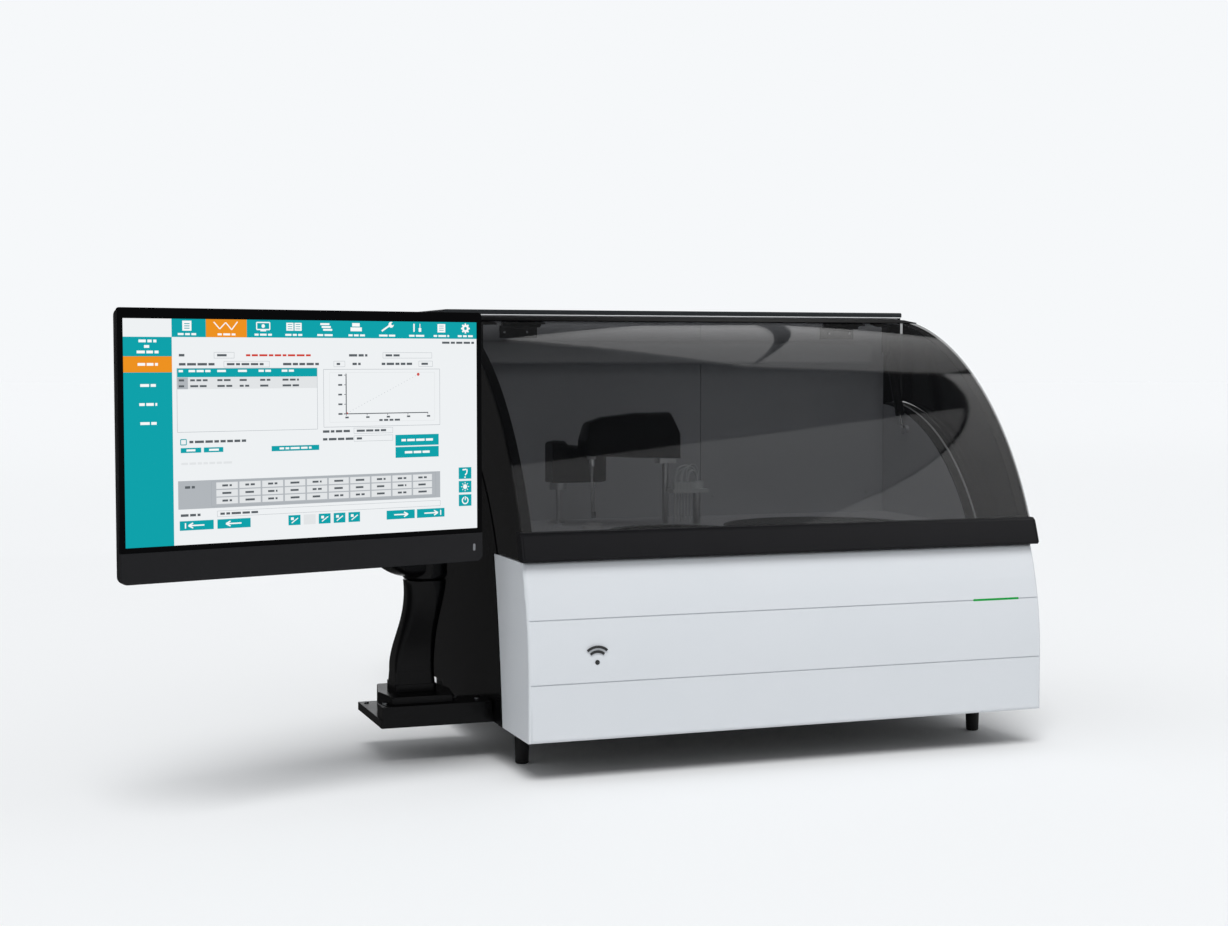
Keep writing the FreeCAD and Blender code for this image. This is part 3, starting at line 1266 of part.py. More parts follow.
def make_bracket_base():
    left, front, back = size("bracket_left"), size("bracket_front"), size("bracket_back")
    low, thick = size("base_height"), size("bracket_thick")
    plate = block(left, front, low, size("bracket_inner") - left, back - front, thick)
    ledge = block(left + 2, front, low, -left - 2 - size("rim_proud") - 0.5, size("ledge_depth"), size("ledge_height"))
    west, east, near, far = size("riser_left"), size("riser_right"), size("riser_front"), size("riser_back")
    waist = near + size("riser_waist")
    plan = outline((west + 10, near), (west, waist), (west + 16, far), (east - 12, far), (east, waist), (east - 8, near))
    riser = Part.Face(Part.Wire([edge.toShape() for edge in plan])).extrude(Vector(0, 0, size("riser_height")))
    upright = [edge for edge in riser.Edges if abs(edge.Vertexes[0].Z - edge.Vertexes[1].Z) > 1]
    riser = riser.makeFillet(4, upright)
    riser.translate(Vector(0, 0, low))
    riser = riser.makeChamfer(1.5, [edge for edge in riser.Edges if edge.BoundBox.ZMin > low + size("riser_height") - 0.1])
    return solid("bracket_base", joined([plate, ledge, riser]))


def make_bracket_column():
    low, top = size("base_height") + size("riser_height"), size("column_top")
    sx, sy = size("swivel_x"), size("swivel_y")
    foot_x, foot_y = size("foot_x"), size("foot_y")
    rise = top - low

    def level(share, width, depth, radius, lean):
        cx = foot_x + (sx - foot_x) * lean
        cy = foot_y + (sy - foot_y) * lean
        return rounded_section(cx, cy, low + rise * share, width, depth, radius)

    wide, deep, thick = size("column_wide"), size("column_deep"), size("column_foot")
    foot = block(foot_x - wide / 2, foot_y - deep / 2, low, wide, deep, thick)
    upright = [edge for edge in foot.Edges if abs(edge.Vertexes[0].Z - edge.Vertexes[1].Z) > 1]
    foot = foot.makeFillet(thick / 2, upright)
    # Sections of the stem from its foot up: share of the height, width, depth, corner radius and lean
    waist = [level(0.16, 0.94 * wide, 0.88 * deep, 0.12 * wide, 0), level(0.3, 0.94 * wide, 0.81 * deep, 0.14 * wide, 0.06),
             level(0.5, 0.88 * wide, 0.73 * deep, 0.18 * wide, 0.36),
             level(0.72, 0.85 * wide, 0.72 * deep, 0.21 * wide, 0.76),
             level(0.9, 0.91 * wide, 0.88 * deep, 0.3 * wide, 0.98), level(1, wide, wide, 0.485 * wide, 1)]
    collar = Part.makeLoft([level(thick / rise, 0.97 * wide, 0.94 * deep, 0.12 * wide, 0), waist[0]], True, True)
    stem = Part.makeLoft(waist, True, False)
    stub = rod(sx, sy, top, size("swivel_pin"), size("swivel_height") + 4)
    cap = rod(sx, sy, top + size("swivel_height") + 2 * size("swivel_gap"), size("swivel_pin") + 5, 5)
    return solid("bracket_column", joined([foot, collar, stem, stub, cap]))


def monitor_place():
    return frame_place * Placement(Vector(size("screen_x"), size("screen_y"), size("screen_z")),
                                   Rotation(Vector(0, 0, 1), size("screen_yaw")))


def head_axis():
    """World place of the head's swivel axis, in the housing's coordinates."""
    turn = math.radians(size("screen_yaw"))
    return (size("screen_x") - size("head_y") * math.sin(turn), size("screen_y") + size("head_y") * math.cos(turn))


def make_swing_arm():
    sx, sy = size("swivel_x"), size("swivel_y")
    hx, hy = head_axis()
    low = size("column_top") + size("swivel_gap")
    hub = rod(sx, sy, low, size("swivel_radius"), size("swivel_height"))
    rims = [edge for edge in hub.Edges if len(edge.Vertexes) == 1]
    hub = hub.makeFillet(9, rims)
    end_top = size("screen_z") + size("tilt_z") - size("head_height") / 2 - size("swivel_gap")
    end_low = end_top - size("arm_end_thick")
    boss = rod(hx, hy, end_low, size("head_radius") + 8, size("arm_end_thick"))
    boss = boss.makeFillet(6, [edge for edge in boss.Edges if len(edge.Vertexes) == 1])
    run = Vector(hx - sx, hy - sy, 0)
    across = Vector(-run.y, run.x, 0).normalize()
    start = Vector(sx, sy, low + size("swivel_height") / 2)
    finish = Vector(hx, hy, end_low + size("arm_end_thick") / 2)

    def rib(share, rise_share, width, height):
        """Upright rounded section across the arm at a share of its run."""
        centre = Vector(sx + run.x * share, sy + run.y * share, start.z + (finish.z - start.z) * rise_share)
        edges = rounded(-width / 2, -height / 2, width, height, min(width, height) * 0.35)
        wire = Part.Wire([edge.toShape() for edge in edges])
        heading = Vector(run.x, run.y, 0).normalize()
        spin = Rotation(across, Vector(0, 0, 1), heading, "ZXY")
        wire.Placement = Placement(centre, spin)
        return wire

    beam = Part.makeLoft([rib(0.04, 0, 52, 40), rib(0.22, 0.07, 50, 40), rib(0.5, 0.5, 46, 38),
                          rib(0.8, 0.94, 44, 30), rib(0.98, 1, 44, 24)], True, False)
    bore = rod(sx, sy, low - 1, size("swivel_pin") + size("running_fit"), size("swivel_height") + 3)
    pin_length = size("head_height") + 2 * size("swivel_gap")
    pin = rod(hx, hy, end_top, size("head_pin"), pin_length)
    cap = rod(hx, hy, end_top + pin_length, size("head_pin") + 5, 4)
    return solid("swing_arm", joined([hub, beam, boss, pin, cap]).cut(bore))


def make_tilt_head():
    y, z, half = size("head_y"), size("tilt_z"), size("head_height") / 2
    sleeve = rod(0, y, z - half, size("head_radius"), 2 * half)
    neck = block(-15, size("tilt_y"), z - 13, 30, y - size("tilt_y"), 26)
    knuckle = rod(-20, size("tilt_y"), z, size("tilt_eye"), 40, Vector(1, 0, 0))
    bore = rod(0, y, z - half - 1, size("head_pin") + size("running_fit"), 2 * half + 2)
    hole = rod(-21, size("tilt_y"), z, size("tilt_pin") + size("running_fit"), 42, Vector(1, 0, 0))
    return solid("tilt_head", joined([sleeve, neck, knuckle]).cut(bore).cut(hole), monitor_place())


def make_mount_plate():
    back = size("case_depth") + size("hump_depth")
    wide, thick, z = size("vesa_plate"), size("vesa_thick"), size("tilt_z")
    plate = block(-wide / 2, back, z - wide / 2, wide, thick, wide)
    through = [edge for edge in plate.Edges if abs(edge.Vertexes[0].Y - edge.Vertexes[1].Y) > 1]
    plate = plate.makeFillet(8, through)
    shapes = [plate]
    for side in (-1, 1):
        start = 20.4 if side > 0 else -28.4
        shapes.append(block(start, back, z - size("tilt_eye"), 8, size("tilt_y") - back, 2 * size("tilt_eye")))
        shapes.append(rod(start, size("tilt_y"), z, size("tilt_eye"), 8, Vector(1, 0, 0)))
        for lift in (-1, 1):
            shapes.append(rod(side * size("vesa_pitch") / 2, back + thick, z + lift * size("vesa_pitch") / 2, 4.5, 3,
                              Vector(0, 1, 0)))
    shapes.append(rod(-31, size("tilt_y"), z, size("tilt_pin"), 62, Vector(1, 0, 0)))
    return solid("mount_plate", joined(shapes), monitor_place())


# Monitor, in its own coordinates: x along the screen, y to the back, z up, from the middle of the screen

def case_box():
    """Left, right, bottom and top of the monitor's front."""
    half = size("screen_width") / 2 + size("bezel_side")
    high = size("screen_height") / 2 + size("bezel_top")
    low = -size("screen_height") / 2 - size("bezel_low") - size("chin_height")
    return -half, half, low, high


def make_monitor_bezel():
    body = new_body("monitor_bezel", monitor_place())
    left, right, low, high = case_box()
    half, tall = size("screen_width") / 2, size("screen_height") / 2
    chin = low + size("chin_height")
    frame_line = outline((left, chin), (right, chin), (right, high - 4), [(right - 1.2, high - 1.2)],
                         (right - 4, high), (left + 4, high), [(left + 1.2, high - 1.2)], (left, high - 4))
    window = rectangle(-half, -tall, 2 * half, 2 * tall)
    pad(body, sketch_on(body, "frame", "XZ_Plane", 0, frame_line, window), "Sizes.bezel_thick", True)
    return body


def make_monitor_screen():
    body = new_body("monitor_screen", monitor_place())
    half, tall = size("screen_width") / 2, size("screen_height") / 2
    pad(body, sketch_on(body, "panel", "XZ_Plane", -size("screen_recess"), rectangle(-half, -tall, 2 * half, 2 * tall)),
        "Sizes.bezel_thick - Sizes.screen_recess", True)
    return body


def chin_outline(left, right, low, high):
    radius = size("corner_round")
    cut = radius * (1 - math.sqrt(0.5))
    return outline((left + radius, low), (right - radius, low), [(right - cut, low + cut)], (right, low + radius),
                   (right, high), (left, high), (left, low + radius), [(left + cut, low + cut)])


def make_speaker_bar():
    body = new_body("speaker_bar", monitor_place())
    left, right, low, _ = case_box()
    high = low + size("chin_height")
    bar = pad(body, sketch_on(body, "bar", "XZ_Plane", size("chin_proud"), chin_outline(left, right, low, high)),
              "Sizes.bezel_thick + Sizes.chin_proud", True)
    front = -size("chin_proud")
    dress(body, "Fillet", bar, lambda p: abs(p.y - front) < 0.01, "Sizes.chin_proud * 0.8")
    gap, wide, tall = size("button_gap"), size("button_wide"), size("button_tall")
    middle = (low + high) / 2
    seat = rounded(size("button_x") - wide / 2 - gap, middle - tall / 2 - gap, wide + 2 * gap, tall + 2 * gap,
                   wide / 2)
    pocket(body, sketch_on(body, "button_seat", "XZ_Plane", size("chin_proud") + 1, seat),
           "Sizes.bezel_thick + Sizes.chin_proud + 2")
    return body


def make_power_button():
    body = new_body("power_button", monitor_place())
    _, _, low, _ = case_box()
    middle, wide, tall = low + size("chin_height") / 2, size("button_wide"), size("button_tall")
    pad(body, sketch_on(body, "key", "XZ_Plane", size("chin_proud") + 0.2,
                        rounded(size("button_x") - wide / 2, middle - tall / 2, wide, tall, wide / 2 - 0.2)),
        "Sizes.bezel_thick + Sizes.chin_proud - 1.3", True)
    return body


def make_monitor_back():
    left, right, low, high = case_box()
    front, depth = size("bezel_thick"), size("case_depth")

    def ring(y, inset, radius, bottom=low, top=high, west=left, east=right):
        edges = rounded(west + inset, bottom + inset, east - west - 2 * inset, top - bottom - 2 * inset, radius)
        wire = Part.Wire([edge.toShape() for edge in edges])
        wire.Placement = Placement(Vector(0, y, 0), Rotation(Vector(1, 0, 0), 90))
        return wire

    edge_round = size("corner_round")
    tray = Part.makeLoft([ring(front, 0, edge_round), ring(depth - 8, 0.5, edge_round)], True, True)
    slope = Part.makeLoft([ring(depth - 8, 0.5, edge_round), ring(depth, 12, edge_round + 4)], True, True)
    hump_end = depth + size("hump_depth")
    middle, half, rise = size("tilt_z"), size("hump_wide") / 2, size("hump_tall") / 2
    hump = Part.makeLoft([ring(depth, 0, 18, middle - rise, middle + rise, -half, half),
                          ring(hump_end, 22, 18, middle - rise, middle + rise, -half, half)], True, True)
    shape = joined([tray, slope, hump])
    # Air slots above the hump and a recess for the sockets below it
    slots, pitch, recess = int(size("slot_count")), size("slot_pitch"), size("port_recess")
    for index in range(slots):
        start = pitch * (index - slots / 2) + pitch / 5
        shape = shape.cut(block(start, depth - 5, high - 42, 0.64 * pitch, 8, 16))
    shape = shape.cut(block(-recess / 2, depth - 6, low + 14, recess, 8, 26))
    return solid("monitor_back", shape, monitor_place())


def build():
    keep(make_base_tray())
    keep(make_feet())
    keep(make_front_casing())
    keep(make_status_light())
    keep(make_side_panel("side_panel_left", False))
    keep(make_side_panel("side_panel_right", True))
    keep(make_rear_cover())
    keep(make_top_frame())
    keep(make_top_plate())
    keep(make_inner_walls())
    keep(make_side_sills())
    keep(make_sill_trims())
    start = size("lining_x") + size("lining_thick")
    keep(make_rear_wall("rear_wall_left", start, size("wall_seam") - size("seam_gap") / 2))
    keep(make_rear_wall("rear_wall_right", size("wall_seam") + size("seam_gap") / 2, W - start))
    keep(make_rear_beam())
    keep(make_work_deck())
    keep(make_bay("reaction_bath", size("reaction_x"), size("reaction_y"),
                  size("reaction_radius") + size("bay_gap"), size("reaction_depth")))
    keep(make_bay("tray_bay", size("tray_x"), size("tray_y"), size("tray_radius") + size("bay_gap"),
                  size("tray_depth")))
    keep(make_wash_wells())
    keep(make_reaction_rotor())
    keep(make_cuvettes())
    keep(make_sample_tray())
    keep(make_reagent_bottles())
    keep(make_sample_tubes())
    keep(make_arm_shaft())
    keep(make_arm_cover())
    keep(make_sample_probe())
    keep(make_mixer_shaft())
    keep(make_mixer_cover())
    keep(make_mixer_paddle())
    keep(make_wash_post())
    keep(make_wash_manifold())
    keep(make_hood_window())
    keep(make_hood_side("hood_side_left", False))
    keep(make_hood_side("hood_side_right", True))
    keep(make_edge_strips())
    keep(make_hood_rail())
    keep(make_lip_bar())
    keep(make_hinge_knuckles())
    keep(make_hinge_mounts())
    keep(make_hinge_pins())
    keep(make_strut_rod("strut_rod_left", False))
    keep(make_strut_rod("strut_rod_right", True))
    keep(make_strut_cylinder("strut_cylinder_left", False))
    keep(make_strut_cylinder("strut_cylinder_right", True))
    keep(make_strut_brackets())
    keep(make_fan_grille())
    keep(make_fan_rotor())
    keep(make_power_inlet())
    keep(make_power_switch())
    keep(make_bracket_base())
    keep(make_bracket_column())
    keep(make_swing_arm())
    keep(make_tilt_head())
    keep(make_mount_plate())
    keep(make_monitor_back())
    keep(make_monitor_bezel())
    keep(make_monitor_screen())
    keep(make_speaker_bar())
    keep(make_power_button())


build()
doc.recompute()

for item in doc.Objects:
    if "Invalid" in item.State or "Error" in item.State:
        raise RuntimeError(f"{item.Label} failed: {item.State}")
for piece in pieces:
    if piece.Shape.isNull() or not piece.Shape.isValid():
        raise RuntimeError(f"{piece.Label} has no valid shape")

os.makedirs("parts", exist_ok=True)
whole = FreeCAD.BoundBox()
for piece in pieces:
    piece.Shape.exportStep(f"parts/{piece.Label}.step")
    whole.add(piece.Shape.BoundBox)
print(f"{len(pieces)} pieces; x {whole.XMin:.2f} to {whole.XMax:.2f}, y {whole.YMin:.2f} to {whole.YMax:.2f}, "
      f"z {whole.ZMin:.2f} to {whole.ZMax:.2f}")
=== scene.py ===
import json
import math
import random

import bpy
from mathutils import Euler, Matrix, Vector


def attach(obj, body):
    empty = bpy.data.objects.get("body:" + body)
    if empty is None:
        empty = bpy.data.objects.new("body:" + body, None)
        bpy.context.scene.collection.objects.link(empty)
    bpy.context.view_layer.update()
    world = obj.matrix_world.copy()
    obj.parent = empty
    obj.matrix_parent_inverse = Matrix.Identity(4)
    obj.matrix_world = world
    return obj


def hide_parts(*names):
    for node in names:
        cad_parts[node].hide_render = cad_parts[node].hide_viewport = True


# Benchtop chemistry analyzer with a monitor on a side bracket.
# Sizes below are millimetres from the housing's left side, its front face and the table.

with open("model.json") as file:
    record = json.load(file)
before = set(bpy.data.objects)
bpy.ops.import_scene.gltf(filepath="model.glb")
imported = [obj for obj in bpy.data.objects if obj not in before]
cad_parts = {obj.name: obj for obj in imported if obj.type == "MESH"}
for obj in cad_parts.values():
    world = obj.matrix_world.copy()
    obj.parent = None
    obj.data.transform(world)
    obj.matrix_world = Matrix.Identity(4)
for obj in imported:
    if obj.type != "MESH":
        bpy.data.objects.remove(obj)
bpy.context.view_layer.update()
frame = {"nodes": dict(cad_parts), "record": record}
nodes = frame["nodes"]
mm = 0.001
housingCorner = Vector((-136.5, -283.0, 0)) * mm  # the housing's front left foot corner in the frame
monitorTurn = math.radians(15.4)
screenMiddle = Vector((-326.0, -50.0, 527.0))
trayCentre = (590, 248)


def inFrame(x, y, z):
    return housingCorner + Vector((x, y, z)) * mm


def aroundTray(ring, turn):
    # A point on a ring about the sample tray's axis
    return trayCentre[0] + ring * math.cos(turn), trayCentre[1] + ring * math.sin(turn)


monitorPlace = Matrix.Translation(inFrame(*screenMiddle)) @ Matrix.Rotation(monitorTurn, 4, "Z")


# Camera and light

photo = dict(width=1228, focalPixels=1912.31, place=(-809.64, -2645.52, 624.47), yaw=19.57, down=3.15,
             sensor=36, farthest=50)
sun = dict(toward=(0.22, 0.58, -1.0), spread=30, strength=1.9, height=3)


def makeCamera():
    bpy.ops.object.camera_add(location=inFrame(*photo["place"]))
    camera = bpy.context.object
    camera.rotation_euler = Euler((math.radians(90 - photo["down"]), 0, -math.radians(photo["yaw"])))
    camera.data.sensor_width = photo["sensor"]
    camera.data.lens = photo["sensor"] * photo["focalPixels"] / photo["width"]
    camera.data.clip_end = photo["farthest"]
    bpy.context.scene.camera = camera


def aimSun(name):
    # A wide sun: soft shadows, and the same light all over the floor
    bpy.ops.object.light_add(type="SUN", location=(0, 0, sun["height"]))
    lamp = bpy.context.object
    lamp.name = name
    lamp.rotation_euler = Vector(sun["toward"]).to_track_quat("-Z", "Y").to_euler()
    lamp.data.angle = math.radians(sun["spread"])
    lamp.data.energy = sun["strength"]
    lamp.visible_glossy = False


# Materials

def hexColour(text):
    # sRGB hex to the linear values that the shaders take
    parts = [int(text[i:i + 2], 16) / 255 for i in (1, 3, 5)]
    return [c / 12.92 if c <= 0.04045 else ((c + 0.055) / 1.055) ** 2.4 for c in parts] + [1.0]


def addNode(material, kind, values=None, links=None, **settings):
    node = material.node_tree.nodes.new(kind)
    for key, value in settings.items():
        setattr(node, key, value)
    for socket, value in (values or {}).items():
        node.inputs[socket].default_value = value
    for socket, source in (links or {}).items():
        material.node_tree.links.new(source, node.inputs[socket])
    return node


def newFinish(name, **sockets):
    material = bpy.data.materials.new(name)
    material.use_nodes = True
    shader = material.node_tree.nodes["Principled BSDF"]
    for socket, value in sockets.items():
        shader.inputs[socket.replace("_", " ")].default_value = value
    return material, shader


def surfaceDetail(material, shader, colour, second, roughness, spread, patch, grain, height):
    # Colour and roughness that drift over a patch size, and a grain in the bump, sizes in millimetres
    link = material.node_tree.links.new
    place = addNode(material, "ShaderNodeTexCoord").outputs["Object"]
    drift = addNode(material, "ShaderNodeTexNoise", {"Scale": 1000 / patch, "Detail": 3.0}, {"Vector": place})
    tint = addNode(material, "ShaderNodeMix", {6: hexColour(colour), 7: hexColour(second)},
                   {0: drift.outputs["Fac"]}, data_type="RGBA")
    link(tint.outputs[2], shader.inputs["Base Color"])
    fine = addNode(material, "ShaderNodeTexNoise", {"Scale": 1000 / grain, "Detail": 2.0}, {"Vector": place})
    gloss = addNode(material, "ShaderNodeMapRange",
                    {"To Min": roughness - spread, "To Max": roughness + spread},
                    {"Value": drift.outputs["Fac"]})
    link(gloss.outputs[0], shader.inputs["Roughness"])
    bump = addNode(material, "ShaderNodeBump", {"Strength": 0.6, "Distance": height * mm},
                   {"Height": fine.outputs["Fac"]})
    link(bump.outputs[0], shader.inputs["Normal"])


def moulded(name, colour, second, roughness=0.4, grain=0.8, height=0.02, patch=60, shine=0.5):
    # Injection moulded plastic: even colour, faint grain, a little sheen variation
    material, shader = newFinish(name, IOR=1.5, Specular_IOR_Level=shine)
    surfaceDetail(material, shader, colour, second, roughness, 0.04, patch, grain, height)
    return material


def coated(name, colour, second, roughness=0.45, grain=1.4, height=0.05, shine=0.5):
    # Powder coat on sheet or castings: orange peel that breaks up the highlights
    material, shader = newFinish(name, IOR=1.5, Specular_IOR_Level=shine)
    surfaceDetail(material, shader, colour, second, roughness, 0.05, 90, grain, height)
    return material


def groundSteel(name, colour, roughness, along):
    # Ground or drawn steel: fine streaks along the piece
    material, shader = newFinish(name, Base_Color=hexColour(colour), Metallic=1.0, Anisotropic=0.4)
    place = addNode(material, "ShaderNodeTexCoord").outputs["Object"]
    stretch = addNode(material, "ShaderNodeMapping", {"Scale": along}, {"Vector": place})
    streak = addNode(material, "ShaderNodeTexNoise", {"Scale": 1500.0, "Detail": 2.0},
                     {"Vector": stretch.outputs[0]})
    gloss = addNode(material, "ShaderNodeMapRange", {"To Min": roughness - 0.06, "To Max": roughness + 0.08},
                    {"Value": streak.outputs["Fac"]})
    material.node_tree.links.new(gloss.outputs[0], shader.inputs["Roughness"])
    bump = addNode(material, "ShaderNodeBump", {"Strength": 0.3, "Distance": 0.00001},
                   {"Height": streak.outputs["Fac"]})
    material.node_tree.links.new(bump.outputs[0], shader.inputs["Normal"])
    return material


def clearPlastic(name, colour, opacity, roughness=0.05, patch=40, shine=0.5):
    # Clear or frosted acrylic and glass: see-through, with a slightly uneven gloss
    material, shader = newFinish(name, Base_Color=hexColour(colour), IOR=1.49, Alpha=opacity,
                                 Specular_IOR_Level=shine)
    place = addNode(material, "ShaderNodeTexCoord").outputs["Object"]
    drift = addNode(material, "ShaderNodeTexNoise", {"Scale": 1000 / patch, "Detail": 2.0}, {"Vector": place})
    gloss = addNode(material, "ShaderNodeMapRange", {"To Min": roughness, "To Max": roughness + 0.05},
                    {"Value": drift.outputs["Fac"]})
    material.node_tree.links.new(gloss.outputs[0], shader.inputs["Roughness"])
    return material


def litFilm(name, colour, strength=1.0):
    # Lit area of the screen: the colour comes from behind, under a slightly glossy film
    return newFinish(name, Base_Color=hexColour("#020203"), Roughness=0.3, Specular_IOR_Level=0.06,
                     Emission_Color=hexColour(colour), Emission_Strength=strength)[0]


finishes = {
    "white_casing": moulded("paintedAbsWhite", "#D2D5D9", "#CED2D6", 0.34, 0.6, 0.012, 120, 0.3),
    "black_gloss": moulded("pianoBlackAbs", "#050506", "#080809", 0.14, 3.0, 0.006, 160, 0.06),
    "top_black": coated("blackEnamelSheet", "#0C0C0E", "#101012", 0.3, 1.6, 0.03, 0.1),
    "grey_sheet": coated("graphitePowderCoat", "#1D1E20", "#191A1C", 0.5, 1.4, 0.05, 0.2),
    "pale_frame": coated("paleGreyEnamel", "#C9CBCE", "#C2C4C8", 0.4),
    "inner_lining": coated("liningGreyEnamel", "#C0C2C6", "#BABCC1", 0.45, 40.0, 0.002, 0.2),
    "foot_rubber": moulded("footRubber", "#0B0B0C", "#111112", 0.6, 0.5, 0.05, 20, 0.2),
    "sill_black": moulded("sillAbsBlack", "#0E0E10", "#121214", 0.32, 0.7, 0.02, 60, 0.2),
    # The sill trims get a near-white colour that stands in for the glint along their rounded chrome edge: a
    # painted highlight.
    "bright_trim": moulded("trimPvcSilver", "#F2F3F5", "#E9EAEC", 0.25, 0.8, 0.006, 60, 0.5),
    "deck_white": moulded("deckAbsGrey", "#C6C8CC", "#BFC1C6", 0.42, 1.0, 0.03, 60, 0.3),
    "bay_grey": moulded("bayAbsDark", "#4B4D51", "#434549", 0.45, 0.8, 0.03),
    "well_white": moulded("wellPpWhite", "#D8D9DA", "#CFD0D2", 0.3, 0.8, 0.01),
    "rotor_dark": moulded("rotorPomBlack", "#1A1B1E", "#222326", 0.35, 0.6, 0.02, 60, 0.3),
    "cuvette_clear": clearPlastic("cuvetteAcrylic", "#DCE8EC", 0.4, 0.04),
    "tray_blue": moulded("trayPomBlueGrey", "#3C4A58", "#344250", 0.4, 0.8, 0.02),
    "bottle_white": moulded("bottleHdpe", "#DDDCD6", "#D2D1CB", 0.45, 1.2, 0.03),
    "tube_clear": clearPlastic("tubeGlass", "#E6EEF0", 0.35, 0.03),
    "arm_black": moulded("armCoverAbs", "#050506", "#08080A", 0.2, 1.2, 0.01, 90, 0.15),
    "shaft_steel": groundSteel("shaftGroundSteel", "#E2E4E6", 0.3, (1, 1, 0.05)),
    "probe_steel": groundSteel("probeDrawnSteel", "#E4E6E8", 0.22, (1, 1, 0.04)),
    "manifold_clear": clearPlastic("manifoldPolycarbonate", "#E8ECEE", 0.85, 0.2),
    "smoked_sheet": clearPlastic("smokedAcrylic", "#0A0B0D", 0.42, 0.012, 200, 0.36),
    "bond_black": moulded("bondTapeBlack", "#0A0A0B", "#0E0E10", 0.35, 0.8, 0.01, 60, 0.2),
    "lip_black": moulded("lipAbsBlack", "#151517", "#19191B", 0.36, 0.7, 0.02, 60, 0.06),
    "hinge_black": coated("hingeBlackOxide", "#121214", "#18181A", 0.4, 1.4, 0.03, 0.2),
    "pin_steel": groundSteel("pinGroundSteel", "#A9ABAE", 0.25, (0.05, 1, 1)),
    "strut_black": coated("strutBlackPaint", "#0A0A0B", "#0E0E10", 0.22, 2.0, 0.01, 0.3),
    "strut_chrome": groundSteel("strutChrome", "#DADCDF", 0.1, (1, 1, 0.05)),
    "fan_black": moulded("fanPbtBlack", "#101012", "#161618", 0.45, 0.8, 0.02, 60, 0.3),
    "inlet_black": moulded("inletNylon", "#0E0E0F", "#131314", 0.5, 0.6, 0.03, 60, 0.3),
    "switch_red": moulded("rockerRed", "#8E1512", "#98201C", 0.28, 1.0, 0.01, 20),
    "cast_black": coated("castAluminiumCoat", "#040405", "#060607", 0.26, 2.2, 0.03, 0.12),
    "head_black": moulded("headNylonBlack", "#060607", "#09090B", 0.42, 0.8, 0.03, 60, 0.12),
    "mount_steel": coated("mountBlackCoat", "#101012", "#151518", 0.4, 1.4, 0.04, 0.25),
    "monitor_shell": moulded("monitorBackAbs", "#0B0B0D", "#101012", 0.5, 1.1, 0.06, 60, 0.12),
    "bezel_glass": moulded("bezelGlossBlack", "#010102", "#020203", 0.16, 4.0, 0.004, 150, 0.04),
    "button_grey": moulded("buttonAbsGrey", "#6E7074", "#75777B", 0.35, 0.6, 0.01, 10),
    "status_lamp": litFilm("lampLensGreen", "#1BA345", 0.9),
    "screen_lit": litFilm("screenWhite", "#F3F6F8", 0.95),
}


threadScale = 454.56  # puts the threads 0.7 mm apart


def speakerCloth():
    # Woven speaker cloth on the chin: level threads, drawn so coarse that they show
    material, shader = newFinish("speakerCloth", IOR=1.45, Roughness=0.62, Specular_IOR_Level=0.2)
    place = addNode(material, "ShaderNodeTexCoord").outputs["Object"]
    thread = addNode(material, "ShaderNodeTexWave",
                     {"Scale": threadScale, "Distortion": 0.6, "Detail": 1.0}, {"Vector": place},
                     bands_direction="Z")
    tint = addNode(material, "ShaderNodeMix", {6: hexColour("#0C0C0E"), 7: hexColour("#1B1B1E")},
                   {0: thread.outputs["Fac"]}, data_type="RGBA")
    material.node_tree.links.new(tint.outputs[2], shader.inputs["Base Color"])
    bump = addNode(material, "ShaderNodeBump", {"Strength": 0.5, "Distance": 0.0002},
                   {"Height": thread.outputs["Fac"]})
    material.node_tree.links.new(bump.outputs[0], shader.inputs["Normal"])
    return material


finishes["speaker_cloth"] = speakerCloth()

# Finishes of single nodes. The hood's end walls let hardly any light through, so the inside looks black
# against them, and its rail is dull and deep, without a glint.
endWall = clearPlastic("smokedAcrylicEnd", "#050506", 0.96, 0.06, 200, 0.2)
ownFinish = {
    "hood_side_left": endWall,
    "hood_side_right": endWall,
    "hood_rail": coated("railAnodisedBlack", "#020203", "#030304", 0.4, 1.6, 0.02, 0.03),
    "top_plate": coated("plateEnamelGraphite", "#1C2023", "#1F2326", 0.3, 1.6, 0.03, 0.2),
}
print("materials made")


# Finishing a CAD node: a merged copy with softened edges stands for it

def deselectAll():
    if bpy.context.mode != "OBJECT":
        bpy.ops.object.mode_set(mode="OBJECT")
    bpy.ops.object.select_all(action="DESELECT")


def choose(*things):
    deselectAll()
    for thing in things:
        thing.select_set(True)
    bpy.context.view_layer.objects.active = things[0]


def soften(thing, width, segments=2, angle=40):
    choose(thing)
    bevel = thing.modifiers.new("softEdge", "BEVEL")
    bevel.width = width * mm
    bevel.segments = segments
    bevel.angle_limit = math.radians(angle)
    bpy.ops.object.modifier_apply(modifier=bevel.name)


slotOf = {row["node"]: row["material_slot"] for row in frame["record"]["subparts"]}
bodyOf = {node: body for body, names in frame["record"]["behaviour"]["bodies"].items() for node in names}

